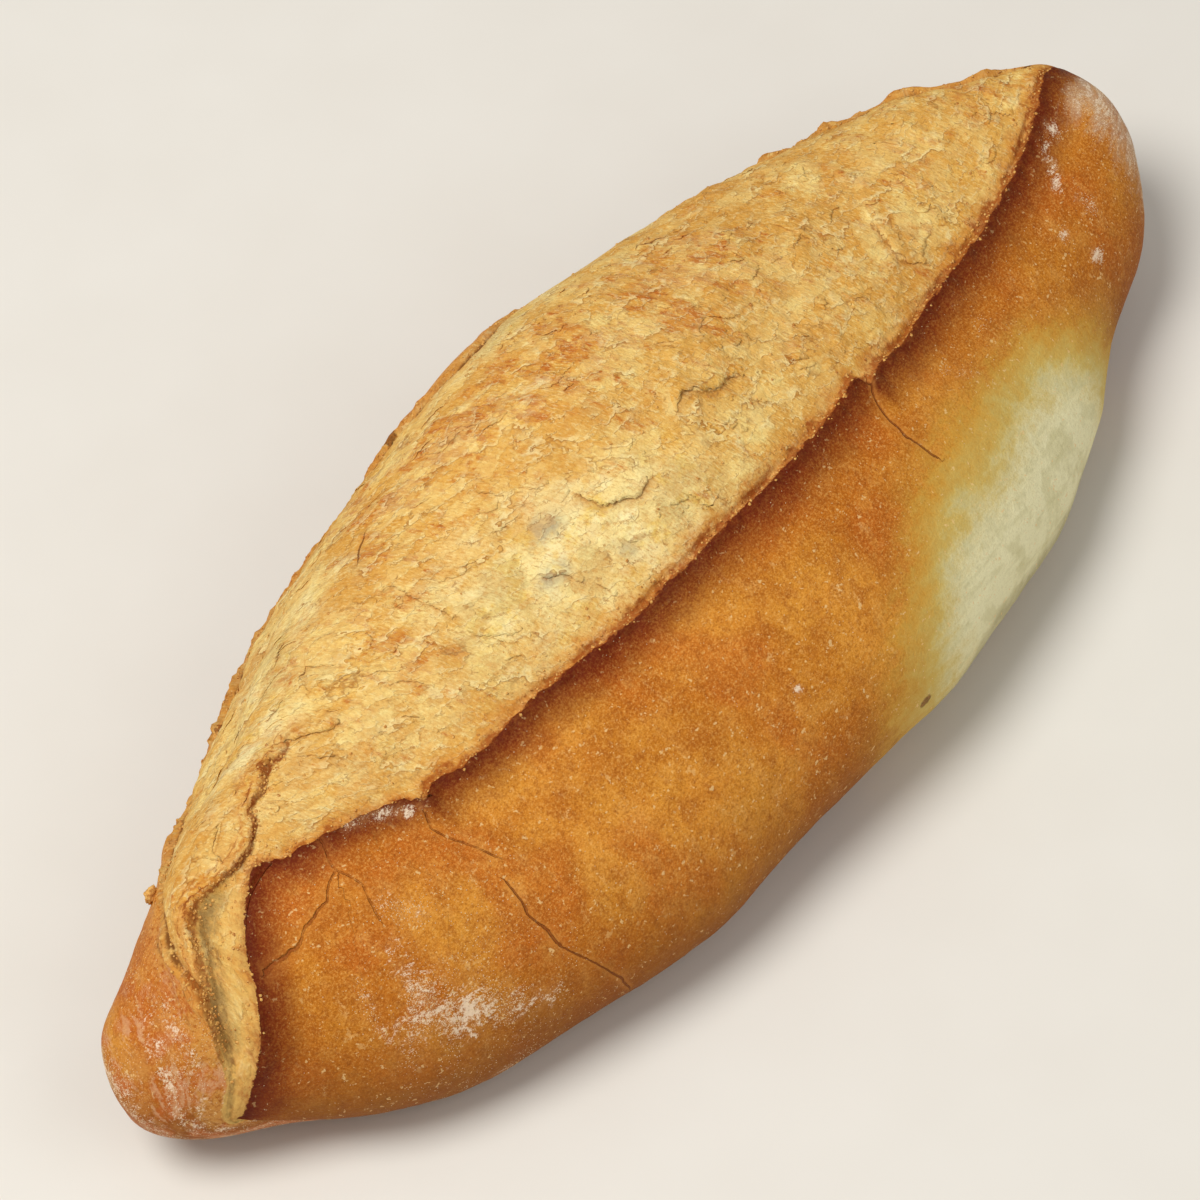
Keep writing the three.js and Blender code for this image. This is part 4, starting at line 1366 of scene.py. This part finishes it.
flour_finish = Finish("dry_flour")
flour_place = flour_finish.place()
clumps, powder = flour_finish.noise(flour_place, 2.5, 2), flour_finish.noise(flour_place, 0.2, 3, 0.7)
flour_colour = flour_finish.coats(
    flour_finish.blend(clumps.rises(0.35, 0.65), tone(236, 220, 184), tone(222, 192, 146)),
    (powder.rises(0.5, 0.7) * 0.4, (206, 186, 154)),
)
flour_bump = flour_finish.bump(powder, 0.05, 0.5)
flour_matt = flour_finish.close(flour_finish.shader(flour_colour, 1.0, 0.05, flour_bump))
print("finishes:", [m.name for m in bpy.data.materials])

# %% [markdown]
# ## The scrap of crumb
# One scrap of torn crumb sticks out of the far crust near the tip. It is a single thing at a known
# place, so it isn't scattered: a fine ball is stretched and pushed in and out by a smooth noise.

# %% The scrap of crumb
NUB_PLACE, NUB_SIZE, NUB_SUNK = (-131.5, 34.5), (1.6, 1.3, 2.2), 0.4


def nub_shape(work):
    bmesh.ops.create_icosphere(work, subdivisions=4, radius=1.0)
    middle, out, _ = on_loaf(*NUB_PLACE)
    for vertex in work.verts:
        lump = noise.fractal(vertex.co * 1.7, 0.6, 2.1, 4) * 0.35
        from_middle = Vector([c * s * (1 + lump) * MM for c, s in zip(vertex.co, NUB_SIZE)])
        vertex.co = Vector(middle + out * NUB_SUNK * MM) + from_middle


crumb_nub = shape_object("crumb_nub", nub_shape)
crumb_nub.data.materials.append(crumbs_matt)
print("crumb nub, mm:", [round(v / MM, 1) for v in crumb_nub.dimensions])

# %% [markdown]
# ## Run the scatters
# Now the tree is used three times, with sizes in millimetres and turns in radians either way. A
# modifier's inputs go by their sockets' identifiers, so these are looked up by name. The result becomes
# a plain mesh, and the modifier goes away again.

# %% Run the scatters
SOME_TURN, ANY_TURN = 0.9, 3.1


def scattered(name, shape, finish, where, most_per_m2, smallest, largest, turn, seed):
    modifier = loaf.modifiers.new(name, "NODES")
    modifier.node_group = scatter
    given = {
        "Shape": shape, "Finish": finish, "Where": where, "Most per m2": most_per_m2,
        "Smallest": smallest, "Largest": largest, "Turn": turn, "Seed": seed,
    }
    for item in scatter.interface.items_tree:
        if item.name in given:
            modifier[item.identifier] = given[item.name]
    bpy.context.view_layer.update()
    made = bpy.data.meshes.new_from_object(loaf.evaluated_get(bpy.context.evaluated_depsgraph_get()))
    loaf.modifiers.remove(modifier)
    made.name = name
    print(name, "faces:", len(made.polygons))
    return in_scene(name, made)


loose_scales = scattered("loose_scales", leaf, loaf_finish, "scale_share", 60000.0, 0.8, 2.4, SOME_TURN, 3)
edge_crumbs = scattered("edge_crumbs", ball, crumbs_matt, "crumb_share", 900000.0, 0.3, 0.95, ANY_TURN, 4)
flour_grains = scattered("flour_grains", pyramid, flour_matt, "flour_share", 5500000.0, 0.12, 0.34, ANY_TURN, 5)
for shape in (leaf, ball, pyramid):
    bpy.data.objects.remove(shape)

# %% [markdown]
# ## Floor and light
# A plain pale floor, a large soft light high behind the far left, and a weaker one from the camera's
# side so that the near skin isn't in shade. Small lamps would make hard shadows and bright spots on the
# crust. Standard colour keeps the browns as they were picked.

# %% Floor, lights and colour
FLOOR_HALF = 4.0
LIT_POINT = Vector((0, 0, 0.04))
LIGHTS = {"key": ((-0.6, 0.35, 1.5), 0.9, 20.0), "fill": ((0.1, -1.3, 1.2), 1.4, 5.0)}
SKY_STRENGTH = 0.36


def add_floor():
    corners = [(x * FLOOR_HALF, y * FLOOR_HALF, 0) for x, y in ((-1, -1), (1, -1), (1, 1), (-1, 1))]
    floor_mesh = bpy.data.meshes.new("floor")
    floor_mesh.from_pydata(corners, [], [(0, 1, 2, 3)])
    paint = Finish("pale_floor")
    shade = paint.blend(paint.noise(paint.place(), 30.0, 2), tone(226, 220, 209), tone(231, 226, 216))
    floor_mesh.materials.append(paint.close(paint.shader(shade, 0.8, 0.2)))
    floor = in_scene("floor", floor_mesh)
    return floor


def add_light(name, place, size, power):
    data = bpy.data.lights.new(name, "AREA")
    data.shape, data.size, data.energy = "DISK", size, power
    light = in_scene(name, data)
    light.location = place
    aim(light, LIT_POINT - light.location)
    return light


floor = add_floor()
for name, (spot, size, power) in LIGHTS.items():
    add_light(name, spot, size, power)
world = bpy.data.worlds.new("studio")
world.use_nodes = True
sky = world.node_tree.nodes["Background"].inputs
sky["Color"].default_value, sky["Strength"].default_value = (1.0, 1.0, 1.0, 1.0), SKY_STRENGTH
bpy.context.scene.world = world
bpy.context.scene.view_settings.view_transform = "Standard"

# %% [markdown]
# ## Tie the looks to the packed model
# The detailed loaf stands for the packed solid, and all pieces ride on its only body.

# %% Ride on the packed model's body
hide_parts("loaf")
for piece in (loaf, torn_sheets, loose_scales, edge_crumbs, flour_grains, crumb_nub):
    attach(piece, "root")
